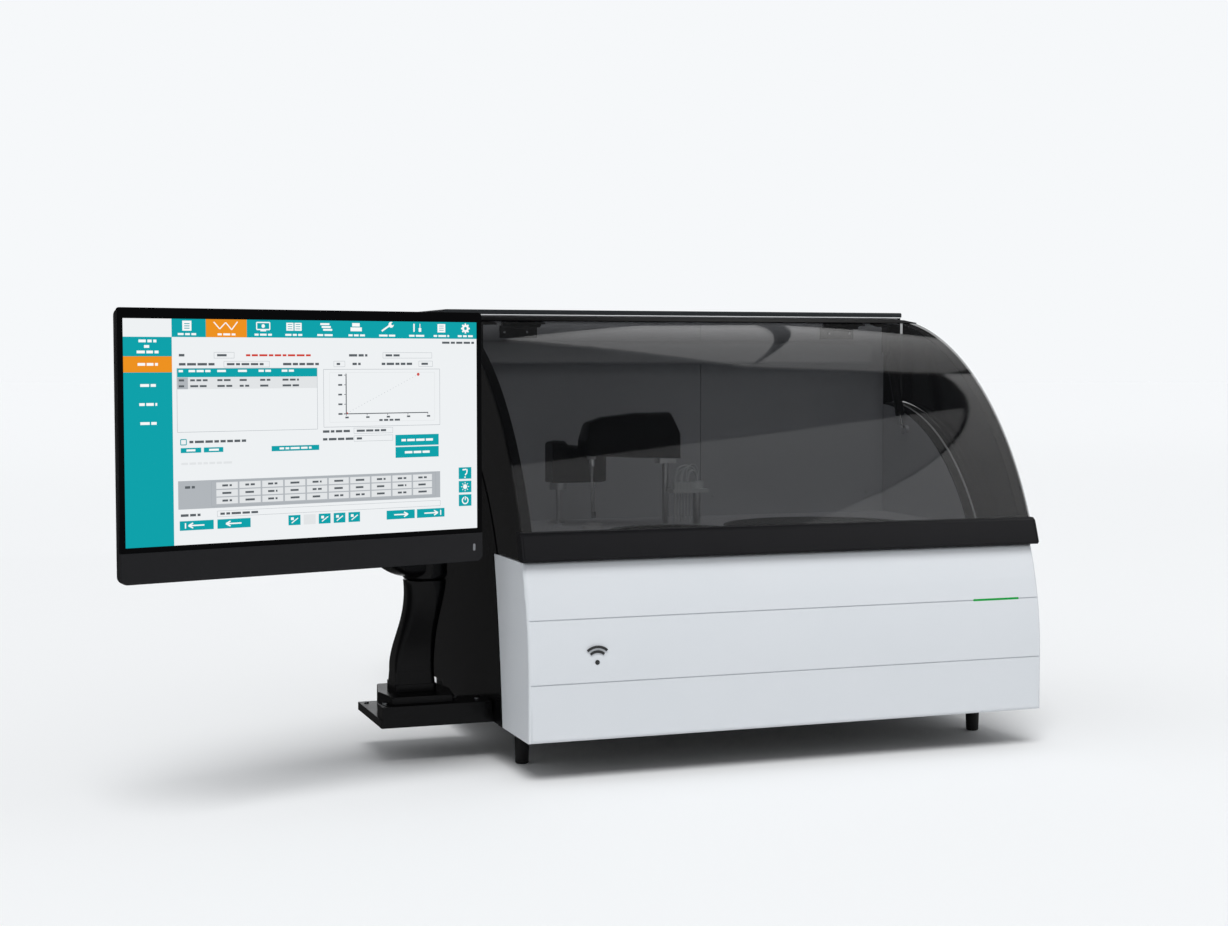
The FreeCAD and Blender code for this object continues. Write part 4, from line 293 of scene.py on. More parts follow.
# Width of each node's softened edges, and the few whose faces shade as one over a wider angle
softEdges = {
    "base_tray": 0.4, "feet": 0.6, "front_casing": 0.35, "status_light": 0.3, "side_panel_left": 0.5,
    "side_panel_right": 0.5, "rear_cover": 0.3, "top_frame": 0.4, "top_plate": 0.3, "inner_walls": 0.4,
    "side_sills": 0.4, "sill_trims": 0.3, "rear_wall_left": 0.3, "rear_wall_right": 0.3, "rear_beam": 0.5,
    "work_deck": 0.5, "reaction_bath": 0.5, "tray_bay": 0.5, "wash_wells": 0.4, "hood_window": 0.4,
    "hood_side_left": 0.4, "hood_side_right": 0.4, "hood_edge_strips": 0.3, "hood_rail": 0.3,
    "hood_lip_bar": 0.6, "hinge_knuckles": 0.3, "hinge_mounts": 0.3, "hinge_pins": 0.3,
    "strut_cylinder_left": 0.4, "strut_cylinder_right": 0.4, "strut_rod_left": 0.2, "strut_rod_right": 0.2,
    "strut_brackets": 0.3, "reaction_rotor": 0.3, "cuvettes": 0, "sample_tray": 0.4, "reagent_bottles": 0.5,
    "sample_tubes": 0.2, "arm_shaft": 0.4, "arm_cover": 1.6, "sample_probe": 0, "mixer_shaft": 0.4,
    "mixer_cover": 1.4, "mixer_paddle": 0, "wash_post": 0.3, "wash_manifold": 0.2, "fan_rotor": 0.3,
    "fan_grille": 0.3, "power_inlet": 0.3, "power_switch": 0.4, "bracket_base": 1.0, "bracket_column": 0.8,
    "swing_arm": 0.8, "tilt_head": 0.6, "mount_plate": 0.5, "monitor_back": 0.8, "monitor_bezel": 0.4,
    "monitor_screen": 0, "speaker_bar": 0.3, "power_button": 0.4,
}
smoothAngles = {"arm_cover": 40, "bracket_column": 35, "swing_arm": 35}
edgeWork = dict(merge=0.002, flat=0.3, steps=2, sharp=35, smooth=30)  # millimetres and degrees


def finishNode(node):
    choose(nodes[node])
    bpy.ops.object.duplicate()
    piece = bpy.context.object
    piece.name = "finished_" + node
    piece.data.materials.clear()
    piece.data.materials.append(ownFinish.get(node, finishes[slotOf[node]]))
    bpy.ops.object.mode_set(mode="EDIT")
    bpy.ops.mesh.select_all(action="SELECT")
    bpy.ops.mesh.remove_doubles(threshold=edgeWork["merge"] * mm)
    bpy.ops.mesh.dissolve_limited(angle_limit=math.radians(edgeWork["flat"]))
    bpy.ops.mesh.customdata_custom_splitnormals_clear()
    bpy.ops.object.mode_set(mode="OBJECT")
    if softEdges[node]:
        soften(piece, softEdges[node], edgeWork["steps"], edgeWork["sharp"])
    bpy.ops.object.shade_smooth_by_angle(angle=math.radians(smoothAngles.get(node, edgeWork["smooth"])))
    even = piece.modifiers.new("evenNormals", "WEIGHTED_NORMAL")  # wide flat faces shade flat up to the bevel
    even.keep_sharp = True
    bpy.ops.object.modifier_apply(modifier=even.name)
    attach(piece, bodyOf[node])
    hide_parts(node)
    return piece


finished = {node: finishNode(node) for node in nodes}
print("CAD nodes finished:", len(finished))


# Small pieces that the CAD model leaves out

def settle(parts, name, body, material, angle=35):
    # Parts joined, their place put into the mesh, finished and riding on a body
    choose(*parts)
    if len(parts) > 1:
        bpy.ops.object.join()
    piece = bpy.context.object
    piece.name = name
    bpy.ops.object.transform_apply(location=True, rotation=True, scale=True)
    piece.data.materials.clear()
    piece.data.materials.append(material)
    bpy.ops.object.shade_smooth_by_angle(angle=math.radians(angle))
    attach(piece, body)


def copyAt(source, place, facing=(0, 0, 1), factor=1.0):
    # Copy with a mesh of its own, its +z turned to where it faces
    choose(source)
    bpy.ops.object.duplicate()
    twin = bpy.context.object
    twin.location = place
    twin.rotation_euler = Vector(facing).to_track_quat("Z", "Y").to_euler()
    twin.scale = (factor, factor, factor)
    return twin


def remove(thing):
    choose(thing)
    bpy.ops.object.delete()


def landOn(node, start, direction):
    # Where a line from a point in the housing's millimetres meets a finished node
    hit, place, normal, _ = finished[node].ray_cast(inFrame(*start), Vector(direction))
    if not hit:
        raise ValueError("nothing of " + node + " at " + str(start))
    return place, normal


def facesAlong(mesh, axis, above=0.9):
    # Only the faces that look along an axis stay selected
    bpy.context.tool_settings.mesh_select_mode = (False, False, True)
    for part in (*mesh.vertices, *mesh.edges):
        part.select = False
    for face in mesh.polygons:
        face.select = face.normal[axis] > above


def stepTop(thing, steps):
    # The top face drawn in and moved up or down, step by step
    facesAlong(thing.data, 2)
    choose(thing)
    bpy.ops.object.mode_set(mode="EDIT")
    for inset, rise in steps:
        bpy.ops.mesh.inset(thickness=inset * mm)
        bpy.ops.transform.translate(value=(0, 0, rise * mm))
    bpy.ops.object.mode_set(mode="OBJECT")


def cutOut(thing, cutter):
    choose(thing)
    cut = thing.modifiers.new("cutOut", "BOOLEAN")
    cut.object = cutter
    cut.operation = "DIFFERENCE"
    cut.solver = "EXACT"
    bpy.ops.object.modifier_apply(modifier=cut.name)
    remove(cutter)


# Screws: a round button head with a six-sided socket. Each row is the node it sits on, a point in front of
# it, the way to the node and its size against the model.
screw = dict(radius=3.6, height=2.0, dome=0.9, socket=1.9, depth=1.1, cutter=4, sunk=0.2, bayRing=160.5,
             monitorSpots=((-150, -40), (150, -40), (-150, 110), (150, 110)), monitorSize=0.8,
             monitorReach=150)
screwRows = (
    [("rear_cover", (x, 720, z), (0, -1, 0), 1.0) for x in (14, 846) for z in (95, 290, 490, 684)] +
    [("rear_cover", (x, 720, z), (0, -1, 0), 1.0) for x in (230, 430, 630) for z in (90, 684)] +
    [("rear_cover", (x, 720, z), (0, -1, 0), 0.8) for x in (588, 692) for z in (508, 612)] +
    [("power_inlet", (x, 720, 140), (0, -1, 0), 0.45) for x in (92.5, 147.2)] +
    [("work_deck", (x, y, 500), (0, 0, -1), 0.9)
     for x, y in ((48, 84), (48, 470), (812, 84), (812, 470), (425, 470), (418, 70))] +
    [("rear_wall_left", (x, 440, z), (0, 1, 0), 0.65) for x in (48, 442) for z in (380, 606)] +
    [("rear_wall_right", (x, 440, z), (0, 1, 0), 0.65) for x in (490, 792) for z in (380, 606)] +
    [("hinge_mounts", (x, 440, 668), (0, 1, 0), 0.6) for x in (105, 145, 715, 755)] +
    [("bracket_base", (x, y, 250), (0, 0, -1), 1.1) for x in (-166, -20) for y in (216, 348)] +
    [("tray_bay", (*aroundTray(screw["bayRing"], turn), 500), (0, 0, -1), 0.5)
     for turn in (0.5, 2.2, 4.1, 5.5)]
)


def modelScrew():
    bpy.ops.mesh.primitive_cylinder_add(vertices=20, radius=screw["radius"] * mm, depth=screw["height"] * mm,
                                        location=(0, 0, (screw["height"] / 2 - screw["sunk"]) * mm))
    head = bpy.context.object
    bpy.ops.object.transform_apply(location=True, rotation=True, scale=True)
    soften(head, screw["dome"], segments=3, angle=60)
    middle = screw["height"] - screw["depth"] + screw["cutter"] / 2
    bpy.ops.mesh.primitive_cylinder_add(vertices=6, radius=screw["socket"] * mm, depth=screw["cutter"] * mm,
                                        location=(0, 0, middle * mm))
    cutOut(head, bpy.context.object)
    return head


def placeScrews():
    head = modelScrew()
    byBody = {}
    for node, start, direction, factor in screwRows:
        place, normal = landOn(node, start, direction)
        group = (bodyOf[node], slotOf[node] == "grey_sheet")
        byBody.setdefault(group, []).append(copyAt(head, place, normal, factor))
    for (body, dark), heads in byBody.items():
        name = body.replace(" ", "_") + ("_cover_screws" if dark else "_screws")
        settle(heads, name, body,
               finishes["hinge_black"] if dark else finishes["screw_steel"])
    monitorHeads = []
    facing = monitorPlace.to_3x3() @ Vector((0, 1, 0))
    for x, z in screw["monitorSpots"]:
        start = monitorPlace @ (Vector((x, screw["monitorReach"], z)) * mm)
        _, place, _, _ = finished["monitor_back"].ray_cast(start, -facing)
        monitorHeads.append(copyAt(head, place, facing, screw["monitorSize"]))
    settle(monitorHeads, "monitor_screws", "monitor", finishes["hinge_black"])
    remove(head)


finishes["screw_steel"] = groundSteel("screwStainless", "#B7B9BC", 0.3, (1, 1, 1))
placeScrews()
print("screws placed")


# Bright strip in the gap between the top plate and the hood's rail

gapStrip = dict(x=(6, 854), y=(476.6, 479.4), z=(696.3, 697.9), edge=0.4, colour="#F2F3F4")


def boxBetween(*spans):
    # A block from its spans in x, y and z
    middle = [(high + low) / 2 for low, high in spans]
    sizes = [(high - low) * mm for low, high in spans]
    bpy.ops.mesh.primitive_cube_add(size=1, location=inFrame(*middle), scale=sizes)
    bpy.ops.object.transform_apply(location=True, rotation=True, scale=True)
    return bpy.context.object


def makeGapStrip():
    strip = boxBetween(gapStrip["x"], gapStrip["y"], gapStrip["z"])
    soften(strip, gapStrip["edge"])
    settle([strip], "top_gap_strip", "housing",
           moulded("gapStripPvc", gapStrip["colour"], "#ECEDEE", 0.35, 0.8, 0.01, 60, 0.4))


makeGapStrip()
print("gap strip made")


# Rubber seals on the front edges of the two side panels, behind the hood's end walls

edgeSeal = dict(x=((856.1, 861.3), (-1.3, 3.9)), y=(477.75, 478.8), z=(546, 668), edge=0.8)


def makeEdgeSeals():
    parts = [boxBetween(span, edgeSeal["y"], edgeSeal["z"]) for span in edgeSeal["x"]]
    for part in parts:
        soften(part, edgeSeal["edge"], segments=3)
    settle(parts, "panel_edge_seals", "housing", finishes["foot_rubber"])


makeEdgeSeals()
print("edge seals made")


# Ribbed screw caps over the plain necks of the reagent bottles

bottle = dict(ring=131, count=14, capLow=314.9, capTall=12.6, capRadius=12.7, ribs=28, rib=0.7,
              top=((1.6, 0.7), (2.0, -0.5)))


def ringTurns(count):
    return [2 * math.pi * index / count for index in range(count)]


def ribRim(thing, share):
    # Every other pair of a drum's upright edges drawn in, which leaves ribs round its rim
    for index, corner in enumerate(sorted(thing.data.vertices, key=lambda v: math.atan2(v.co.y, v.co.x))):
        if index % 4 < 2:
            corner.co.x *= share
            corner.co.y *= share


def makeBottleCaps():
    bpy.ops.mesh.primitive_cylinder_add(vertices=2 * bottle["ribs"], radius=bottle["capRadius"] * mm,
                                        depth=bottle["capTall"] * mm, end_fill_type="NGON")
    cap = bpy.context.object
    ribRim(cap, 1 - bottle["rib"] / bottle["capRadius"])
    stepTop(cap, bottle["top"])
    level = bottle["capLow"] + bottle["capTall"] / 2
    places = [inFrame(*aroundTray(bottle["ring"], turn), level) for turn in ringTurns(bottle["count"])]
    caps = [copyAt(cap, place) for place in places]
    remove(cap)
    settle(caps, "bottle_caps", "sample tray", finishes["cap_blue"], angle=30)


finishes["cap_blue"] = moulded("capPpBlue", "#2C5F93", "#285888", 0.35, 0.8, 0.02, 30)
makeBottleCaps()
print("bottle caps placed")


# Silicone tubes: each follows a smooth curve, low enough for the arm to swing over them
tubing = dict(radius=1.5, wall="#D6DADC", rows=(
    [(344, 269, 419), (344, 269, 440), (356, 272, 447), (370, 278, 444), (376, 283, 432), (376, 283, 419)],
    [(355, 269, 419), (355, 269, 434), (362, 270, 441), (371, 276, 438), (376, 282, 428), (376, 282, 419)],
    [(333, 269, 419), (333, 269, 442), (346, 270, 449), (364, 276, 447), (377, 281, 436), (378, 284, 419)],
))


def roundAlong(name, points, radius, order, steps, roundness):
    # A round bar along a smooth curve, as a mesh
    curve = bpy.data.curves.new(name, "CURVE")
    curve.dimensions = "3D"
    spline = curve.splines.new("NURBS")
    spline.points.add(len(points) - 1)
    for knot, point in zip(spline.points, points):
        knot.co = (*inFrame(*point), 1)
    spline.order_u = order
    spline.use_endpoint_u = True
    spline.resolution_u = steps
    curve.bevel_depth = radius * mm
    curve.bevel_resolution = roundness
    curve.use_fill_caps = True
    bar = bpy.data.objects.new(name, curve)
    bpy.context.collection.objects.link(bar)
    choose(bar)
    bpy.ops.object.convert(target="MESH")
    return bpy.context.object


def makeTubing():
    parts = [roundAlong("washing_head_tubes", points, tubing["radius"], order=4, steps=8, roundness=3)
             for points in tubing["rows"]]
    settle(parts, "washing_head_tubes", "washing head", finishes["tube_silicone"], angle=60)


finishes["tube_silicone"] = moulded("siliconeTube", tubing["wall"], "#CBD0D3", 0.3, 1.0, 0.004, 20, 0.5)
makeTubing()
print("tubes laid")


# Sockets in the recess under the monitor's hump: three flat screened ones and a tall one for power

sockets = dict(z=-169.3, y=18.0, rows=((-70, 15.0, 5.6), (-30, 17.5, 5.6), (10, 15.0, 5.6), (70, 24.0, 11.0)),
               shell=1.2, depth=4.2, mouth=3.0, edge=0.25)
socketTongue = dict(share=0.6, shorter=0.6, tall=1.4, edge=0.2)


def squareToMonitor(place, wide, deep, tall):
    # A block that stands square to the monitor
    bpy.ops.mesh.primitive_cube_add(size=1, location=place, rotation=(0, 0, monitorTurn),
                                    scale=(wide * mm, deep * mm, tall * mm))
    bpy.ops.object.transform_apply(location=False, rotation=False, scale=True)
    return bpy.context.object


def makeSockets():
    shells, tongues = [], []
    inward = monitorPlace.to_3x3() @ Vector((0, -sockets["mouth"] * mm, 0))
    for x, wide, tall in sockets["rows"]:
        place = monitorPlace @ (Vector((x, sockets["y"], sockets["z"])) * mm)
        shell = squareToMonitor(place, wide, sockets["depth"], tall)
        facesAlong(shell.data, 1)
        choose(shell)
        bpy.ops.object.mode_set(mode="EDIT")
        bpy.ops.mesh.inset(thickness=sockets["shell"] * mm)
        bpy.ops.mesh.extrude_region_move(TRANSFORM_OT_translate={"value": inward})
        bpy.ops.object.mode_set(mode="OBJECT")
        soften(shell, sockets["edge"])
        shells.append(shell)
        tongue = squareToMonitor(place, wide * socketTongue["share"],
                                 sockets["depth"] - socketTongue["shorter"], socketTongue["tall"])
        soften(tongue, socketTongue["edge"])
        tongues.append(tongue)
    settle(shells, "monitor_socket_shells", "monitor", finishes["screw_steel"])
    settle(tongues, "monitor_socket_tongues", "monitor", finishes["inlet_black"])


makeSockets()
print("monitor sockets made")


# Liquid in the sample tubes: a straw coloured column with a dished top, a little different in each

serum = dict(ring=75, count=16, low=258.9, radius=5.25, levels=(30, 44), dish=((1.2, -0.8), (2.0, -0.4)),
             colour="#C9A23C")


def makeSerum():
    levels = random.Random(11)
    columns = []
    for turn in ringTurns(serum["count"]):
        tall = levels.uniform(*serum["levels"])
        middle = inFrame(*aroundTray(serum["ring"], turn), serum["low"] + tall / 2)
        bpy.ops.mesh.primitive_cylinder_add(vertices=20, radius=serum["radius"] * mm, depth=tall * mm,
                                            location=middle)
        columns.append(bpy.context.object)
        stepTop(columns[-1], serum["dish"])
    settle(columns, "sample_liquid", "sample tray",
           clearPlastic("serum", serum["colour"], 0.9, 0.05), angle=50)


makeSerum()
print("sample liquid filled in")


# Knurled nut and spring under the sampling arm's cover, around the probe

probe = (203, 312)
nut = dict(top=464.8, radius=7.0, tall=6.0, sides=48, groove=0.93, edge=0.3)
spring = dict(top=447.3, coil=2.7, wire=0.5, tall=15.0, turns=7, knots=8)


def makeProbeFittings():
    bpy.ops.mesh.primitive_cylinder_add(vertices=nut["sides"], radius=nut["radius"] * mm,
                                        depth=nut["tall"] * mm,
                                        location=inFrame(*probe, nut["top"] - nut["tall"] / 2))
    ring = bpy.context.object
    ribRim(ring, nut["groove"])
    soften(ring, nut["edge"], angle=60)
    steps = spring["turns"] * spring["knots"]
    path = []
    for index in range(steps + 1):
        turn = 2 * math.pi * index / spring["knots"]
        path.append((probe[0] + spring["coil"] * math.cos(turn), probe[1] + spring["coil"] * math.sin(turn),
                     spring["top"] - spring["tall"] * index / steps))
    coil = roundAlong("probeSpring", path, spring["wire"], order=3, steps=3, roundness=2)
    settle([ring, coil], "probe_nut_and_spring", "sampling arm", finishes["screw_steel"],
           angle=40)


makeProbeFittings()
print("probe fittings made")


# The lit picture on the screen: flat shapes a hair in front of the panel, placed as shares of the screen from
# its top left corner. Words are plain bars.

picture = dict(width=527.0, height=296.5, front=0.5, layer=0.06)
wordBars = dict(shortest=0.010, longest=0.026, gap=0.004)
pictureColours = {
    "teal": "#00A4AD", "orange": "#F2941A", "white": "#FFFFFF", "pale": "#E6E9EB", "grey": "#B4B9BE",
    "line": "#A9AFB4", "ink": "#5B6166", "red": "#D43A2C",
}
pictureParts = {colour: [] for colour in pictureColours}


def onScreen(u, v, layer):
    # Screen share to the monitor's own millimetres
    return (picture["width"] * (u - 0.5), picture["front"] - picture["layer"] * layer,
            picture["height"] * (0.5 - v))


def flat(colour, u0, v0, u1, v1, layer=1):
    x0, y, z0 = onScreen(u0, v0, layer)
    x1, _, z1 = onScreen(u1, v1, layer)
    bpy.ops.mesh.primitive_plane_add(size=1, location=((x0 + x1) / 2, y, (z0 + z1) / 2),
                                     rotation=(math.pi / 2, 0, 0))
    bpy.context.object.scale = (abs(x1 - x0), abs(z1 - z0), 1)
    pictureParts[colour].append(bpy.context.object)


def stroke(colour, u0, v0, u1, v1, thick, layer=2):
    # Straight line, its thickness in millimetres
    x0, y, z0 = onScreen(u0, v0, layer)
    x1, _, z1 = onScreen(u1, v1, layer)
    slope = math.atan2(z1 - z0, x1 - x0)
    bpy.ops.mesh.primitive_plane_add(size=1, location=((x0 + x1) / 2, y, (z0 + z1) / 2),
                                     rotation=(math.pi / 2, -slope, 0))
    bpy.context.object.scale = (math.hypot(x1 - x0, z1 - z0), thick, 1)
    pictureParts[colour].append(bpy.context.object)


def disc(colour, u, v, radius, layer=2, sides=24):
    bpy.ops.mesh.primitive_circle_add(vertices=sides, radius=radius, fill_type="NGON",
                                      location=onScreen(u, v, layer), rotation=(math.pi / 2, 0, 0))
    pictureParts[colour].append(bpy.context.object)


def outlineBox(colour, u0, v0, u1, v1, thick=0.5, layer=2):
    for ends in ((u0, v0, u1, v0), (u0, v1, u1, v1), (u0, v0, u0, v1), (u1, v0, u1, v1)):
        stroke(colour, *ends, thick, layer)


def words(colour, u, v, length, height=0.011, layer=3):
    # A line of bars as long as words, from u to the right
    at = u
    while at < u + length - wordBars["gap"]:
        run = min(luck.uniform(wordBars["shortest"], wordBars["longest"]), u + length - at)
        flat(colour, at, v - height / 2, at + run, v + height / 2, layer)
        at += run + wordBars["gap"]


def field(u0, v, u1, text=0.0, height=0.026):
    # Entry field with a thin outline and, if asked, a short entry in it
    outlineBox("line", u0, v - height / 2, u1, v + height / 2, 0.4)
    if text:
        words("ink", u0 + 0.008, v, text, 0.010)


luck = random.Random(7)


def drawTitleBar():
    # Title bar, its tabs and their pictograms
    flat("teal", 0.125, 0, 1, 0.08)
    flat("orange", 0.215, 0, 0.325, 0.08, 2)
    for u in (0.165, 0.27, 0.37, 0.455, 0.545, 0.635, 0.725, 0.815, 0.89, 0.965):
        words("white", u - 0.024, 0.067, 0.048, 0.009)
    flat("white", 0.153, 0.008, 0.177, 0.052, 3)
    for row in range(3):
        flat("teal", 0.158, 0.019 + 0.010 * row, 0.172, 0.023 + 0.010 * row, 4)
    zigzag = ((0.236, 0.012), (0.252, 0.043), (0.268, 0.014), (0.284, 0.046), (0.300, 0.010))
    for start, end in zip(zigzag, zigzag[1:]):
        stroke("white", *start, *end, 1.5, 3)
    outlineBox("white", 0.352, 0.012, 0.388, 0.044, 1.6, 3)
    disc("white", 0.37, 0.028, 2.6, 3, 8)
    flat("white", 0.362, 0.047, 0.378, 0.052, 3)
    flat("white", 0.434, 0.012, 0.454, 0.048, 3)
    flat("white", 0.457, 0.012, 0.477, 0.048, 3)
    for row in range(3):
        flat("teal", 0.438, 0.018 + 0.010 * row, 0.451, 0.021 + 0.010 * row, 4)
        flat("teal", 0.460, 0.018 + 0.010 * row, 0.473, 0.021 + 0.010 * row, 4)
    for row in range(3):
        flat("white", 0.530 + 0.004 * row, 0.012 + 0.013 * row, 0.556 + 0.004 * row, 0.021 + 0.013 * row, 3)
    flat("white", 0.622, 0.010, 0.644, 0.026, 3)
    flat("white", 0.617, 0.030, 0.650, 0.048, 3)
    stroke("white", 0.709, 0.046, 0.732, 0.020, 2.4, 3)
    disc("white", 0.737, 0.016, 4.2, 3, 10)
    disc("teal", 0.741, 0.012, 2.0, 4, 10)
    stroke("white", 0.806, 0.010, 0.806, 0.048, 2.2, 3)
    stroke("white", 0.824, 0.010, 0.824, 0.048, 1.2, 3)
    flat("white", 0.820, 0.030, 0.828, 0.048, 3)
    flat("white", 0.878, 0.010, 0.902, 0.050, 3)
    for row in range(3):
        flat("teal", 0.883, 0.018 + 0.010 * row, 0.897, 0.021 + 0.010 * row, 4)
    disc("white", 0.965, 0.030, 5.4, 3, 20)
    for tooth in range(8):
        turn = tooth * math.pi / 4
        stroke("white", 0.965, 0.030, 0.965 + 0.0135 * math.cos(turn), 0.030 + 0.024 * math.sin(turn), 2.4, 3)
    disc("teal", 0.965, 0.030, 2.4, 4, 16)
    words("ink", 0.892, 0.099, 0.1, 0.010)


def drawSideMenu():
    flat("teal", 0, 0.08, 0.125, 1)
    flat("orange", 0, 0.165, 0.125, 0.235, 2)
    for v, length in ((0.098, 0.046), (0.122, 0.018), (0.146, 0.056), (0.200, 0.052), (0.292, 0.040),
                      (0.375, 0.046), (0.458, 0.042)):
        words("white", 0.0625 - length / 2, v, length, 0.012)


def drawEntries():
    words("ink", 0.143, 0.160, 0.022)
    field(0.236, 0.160, 0.290, 0.026)
    words("red", 0.322, 0.160, 0.180, 0.009)
    words("ink", 0.612, 0.160, 0.054)
    field(0.712, 0.160, 0.860, 0.042)
    words("ink", 0.143, 0.200, 0.094)
    field(0.262, 0.200, 0.386, 0.100)
    words("ink", 0.424, 0.200, 0.104)
    field(0.568, 0.200, 0.600, 0.010)
    words("ink", 0.622, 0.200, 0.024)
    words("ink", 0.708, 0.200, 0.092)
    field(0.820, 0.200, 0.862, 0.020)


def drawTable():
    outlineBox("line", 0.137, 0.218, 0.520, 0.500, 0.5)
    flat("teal", 0.138, 0.218, 0.520, 0.257)
    for u, length in ((0.142, 0.016), (0.168, 0.058), (0.244, 0.030), (0.300, 0.030), (0.356, 0.034),
                      (0.420, 0.034)):
        words("white", u, 0.230, length, 0.010)
    flat("pale", 0.138, 0.258, 0.520, 0.310)
    flat("grey", 0.138, 0.258, 0.166, 0.310, 2)
    for v in (0.271, 0.297):
        for u, length in ((0.142, 0.014), (0.172, 0.046), (0.244, 0.040), (0.304, 0.026), (0.360, 0.030),
                          (0.422, 0.046)):
            words("ink", u, v, length, 0.009)


def drawChart():
    outlineBox("grey", 0.538, 0.225, 0.884, 0.492, 0.6)
    outlineBox("pale", 0.555, 0.240, 0.868, 0.470, 0.6)
    stroke("ink", 0.603, 0.245, 0.603, 0.432, 1.5)
    stroke("ink", 0.596, 0.432, 0.848, 0.432, 1.3)
    for step in range(5):
        stroke("ink", 0.597, 0.252 + 0.045 * step, 0.603, 0.252 + 0.045 * step, 0.8)
        stroke("ink", 0.603 + 0.061 * step, 0.432, 0.603 + 0.061 * step, 0.441, 0.8)
        words("ink", 0.580, 0.252 + 0.045 * step, 0.012, 0.008)
        words("ink", 0.600 + 0.061 * step, 0.449, 0.010, 0.008)
    for dot in range(26):
        share = dot / 25
        disc("grey", 0.606 + 0.212 * share, 0.428 - 0.178 * share, 0.55, 3, 6)
    disc("red", 0.818, 0.250, 2.2, 3, 10)
    disc("red", 0.606, 0.428, 1.0, 4, 8)
    words("ink", 0.700, 0.464, 0.062, 0.009)


def drawChoices():
    # Choices under the table
    outlineBox("teal", 0.145, 0.532, 0.160, 0.556, 1.2)
    words("ink", 0.168, 0.544, 0.156)
    flat("teal", 0.145, 0.570, 0.199, 0.592)
    flat("teal", 0.206, 0.570, 0.258, 0.592)
    words("white", 0.160, 0.581, 0.024, 0.009)
    words("white", 0.220, 0.581, 0.026, 0.009)
    words("pale", 0.146, 0.640, 0.138, 0.010)
    flat("teal", 0.390, 0.572, 0.524, 0.596)
    words("white", 0.412, 0.584, 0.090, 0.009)
    for v, length, entry in ((0.512, 0.078, 0.094), (0.548, 0.088, 0.018)):
        words("ink", 0.535, v, length)
        field(0.625, v, 0.740, entry)
    flat("teal", 0.748, 0.536, 0.880, 0.588)
    flat("teal", 0.748, 0.594, 0.880, 0.645)
    words("white", 0.766, 0.562, 0.096, 0.011)
    words("white", 0.776, 0.620, 0.076, 0.011)


def drawTestKeys():
    flat("grey", 0.137, 0.716, 0.884, 0.842)
    words("ink", 0.155, 0.745, 0.026)
    for row in range(3):
        for column in range(10):
            u, v = 0.238 + 0.0625 * column, 0.728 + 0.034 * row
            flat("pale", u, v, u + 0.058, v + 0.029, 2)
            words("ink", u + 0.016, v + 0.0145, 0.026, 0.009)
    outlineBox("line", 0.225, 0.722, 0.870, 0.834, 0.6, 3)


def drawBottomRow():
    # Status line and the bottom row of keys
    words("ink", 0.143, 0.869, 0.052)
    field(0.240, 0.869, 0.884, 0.110)
    for u0, u1, heading in ((0.140, 0.230, -1), (0.240, 0.330, -1), (0.720, 0.805, 1), (0.812, 0.897, 1)):
        flat("teal", u0, 0.894, u1, 0.936)
        middleU = (u0 + u1) / 2
        stroke("white", middleU - 0.020, 0.915, middleU + 0.020, 0.915, 1.8, 3)
        stroke("white", middleU + heading * 0.022, 0.915, middleU + heading * 0.010, 0.904, 1.8, 3)
        stroke("white", middleU + heading * 0.022, 0.915, middleU + heading * 0.010, 0.926, 1.8, 3)
    stroke("white", 0.155, 0.903, 0.155, 0.927, 1.8, 3)
    stroke("white", 0.885, 0.903, 0.885, 0.927, 1.8, 3)
    for key, colour in enumerate(("teal", "pale", "teal", "teal", "teal")):
        u = 0.435 + 0.043 * key
        flat(colour, u, 0.892, u + 0.034, 0.938)
        if colour == "teal":
            flat("white", u + 0.007, 0.902, u + 0.015, 0.914, 3)
            stroke("white", u + 0.009, 0.928, u + 0.027, 0.906, 1.4, 3)


def drawSquareKeys():
    # Three square keys at the right: help, brightness and power
    for v in (0.702, 0.768, 0.834):
        flat("teal", 0.942, v, 0.982, v + 0.056)
    stroke("white", 0.954, 0.714, 0.966, 0.712, 2.0, 3)
    stroke("white", 0.968, 0.712, 0.968, 0.728, 2.0, 3)
    stroke("white", 0.968, 0.729, 0.962, 0.740, 2.0, 3)
    disc("white", 0.962, 0.750, 1.2, 3, 10)
    disc("white", 0.962, 0.796, 3.4, 3, 16)
    for beam in range(8):
        turn = beam * math.pi / 4
        stroke("white", 0.962 + 0.0085 * math.cos(turn), 0.796 + 0.0152 * math.sin(turn),
               0.962 + 0.0125 * math.cos(turn), 0.796 + 0.0222 * math.sin(turn), 1.1, 3)
    disc("white", 0.962, 0.863, 5.6, 3)
    disc("teal", 0.962, 0.863, 3.8, 4)
    flat("teal", 0.9585, 0.840, 0.9655, 0.862, 5)
    stroke("white", 0.962, 0.843, 0.962, 0.862, 1.5, 6)


def makePicture():
    # The words take their lengths from one row of random numbers, so the parts keep this order
    for draw in (drawTitleBar, drawSideMenu, drawEntries, drawTable, drawChart, drawChoices, drawTestKeys,
                 drawBottomRow, drawSquareKeys):
        draw()
    for colour, parts in pictureParts.items():
        choose(*parts)
        bpy.ops.object.join()
        piece = bpy.context.object
        piece.name = "picture_" + colour
        bpy.ops.object.transform_apply(location=True, rotation=True, scale=True)
        piece.scale = (mm, mm, mm)
        bpy.ops.object.transform_apply(location=False, rotation=False, scale=True)
        piece.matrix_world = monitorPlace
        bpy.ops.object.transform_apply(location=True, rotation=True, scale=False)
        piece.data.materials.clear()
        piece.data.materials.append(litFilm("screen" + colour.capitalize(), pictureColours[colour], 0.95))
        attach(piece, "monitor")


makePicture()
print("screen picture drawn")


# Three waves and a dot printed on the front: the usual pictogram of a wireless link

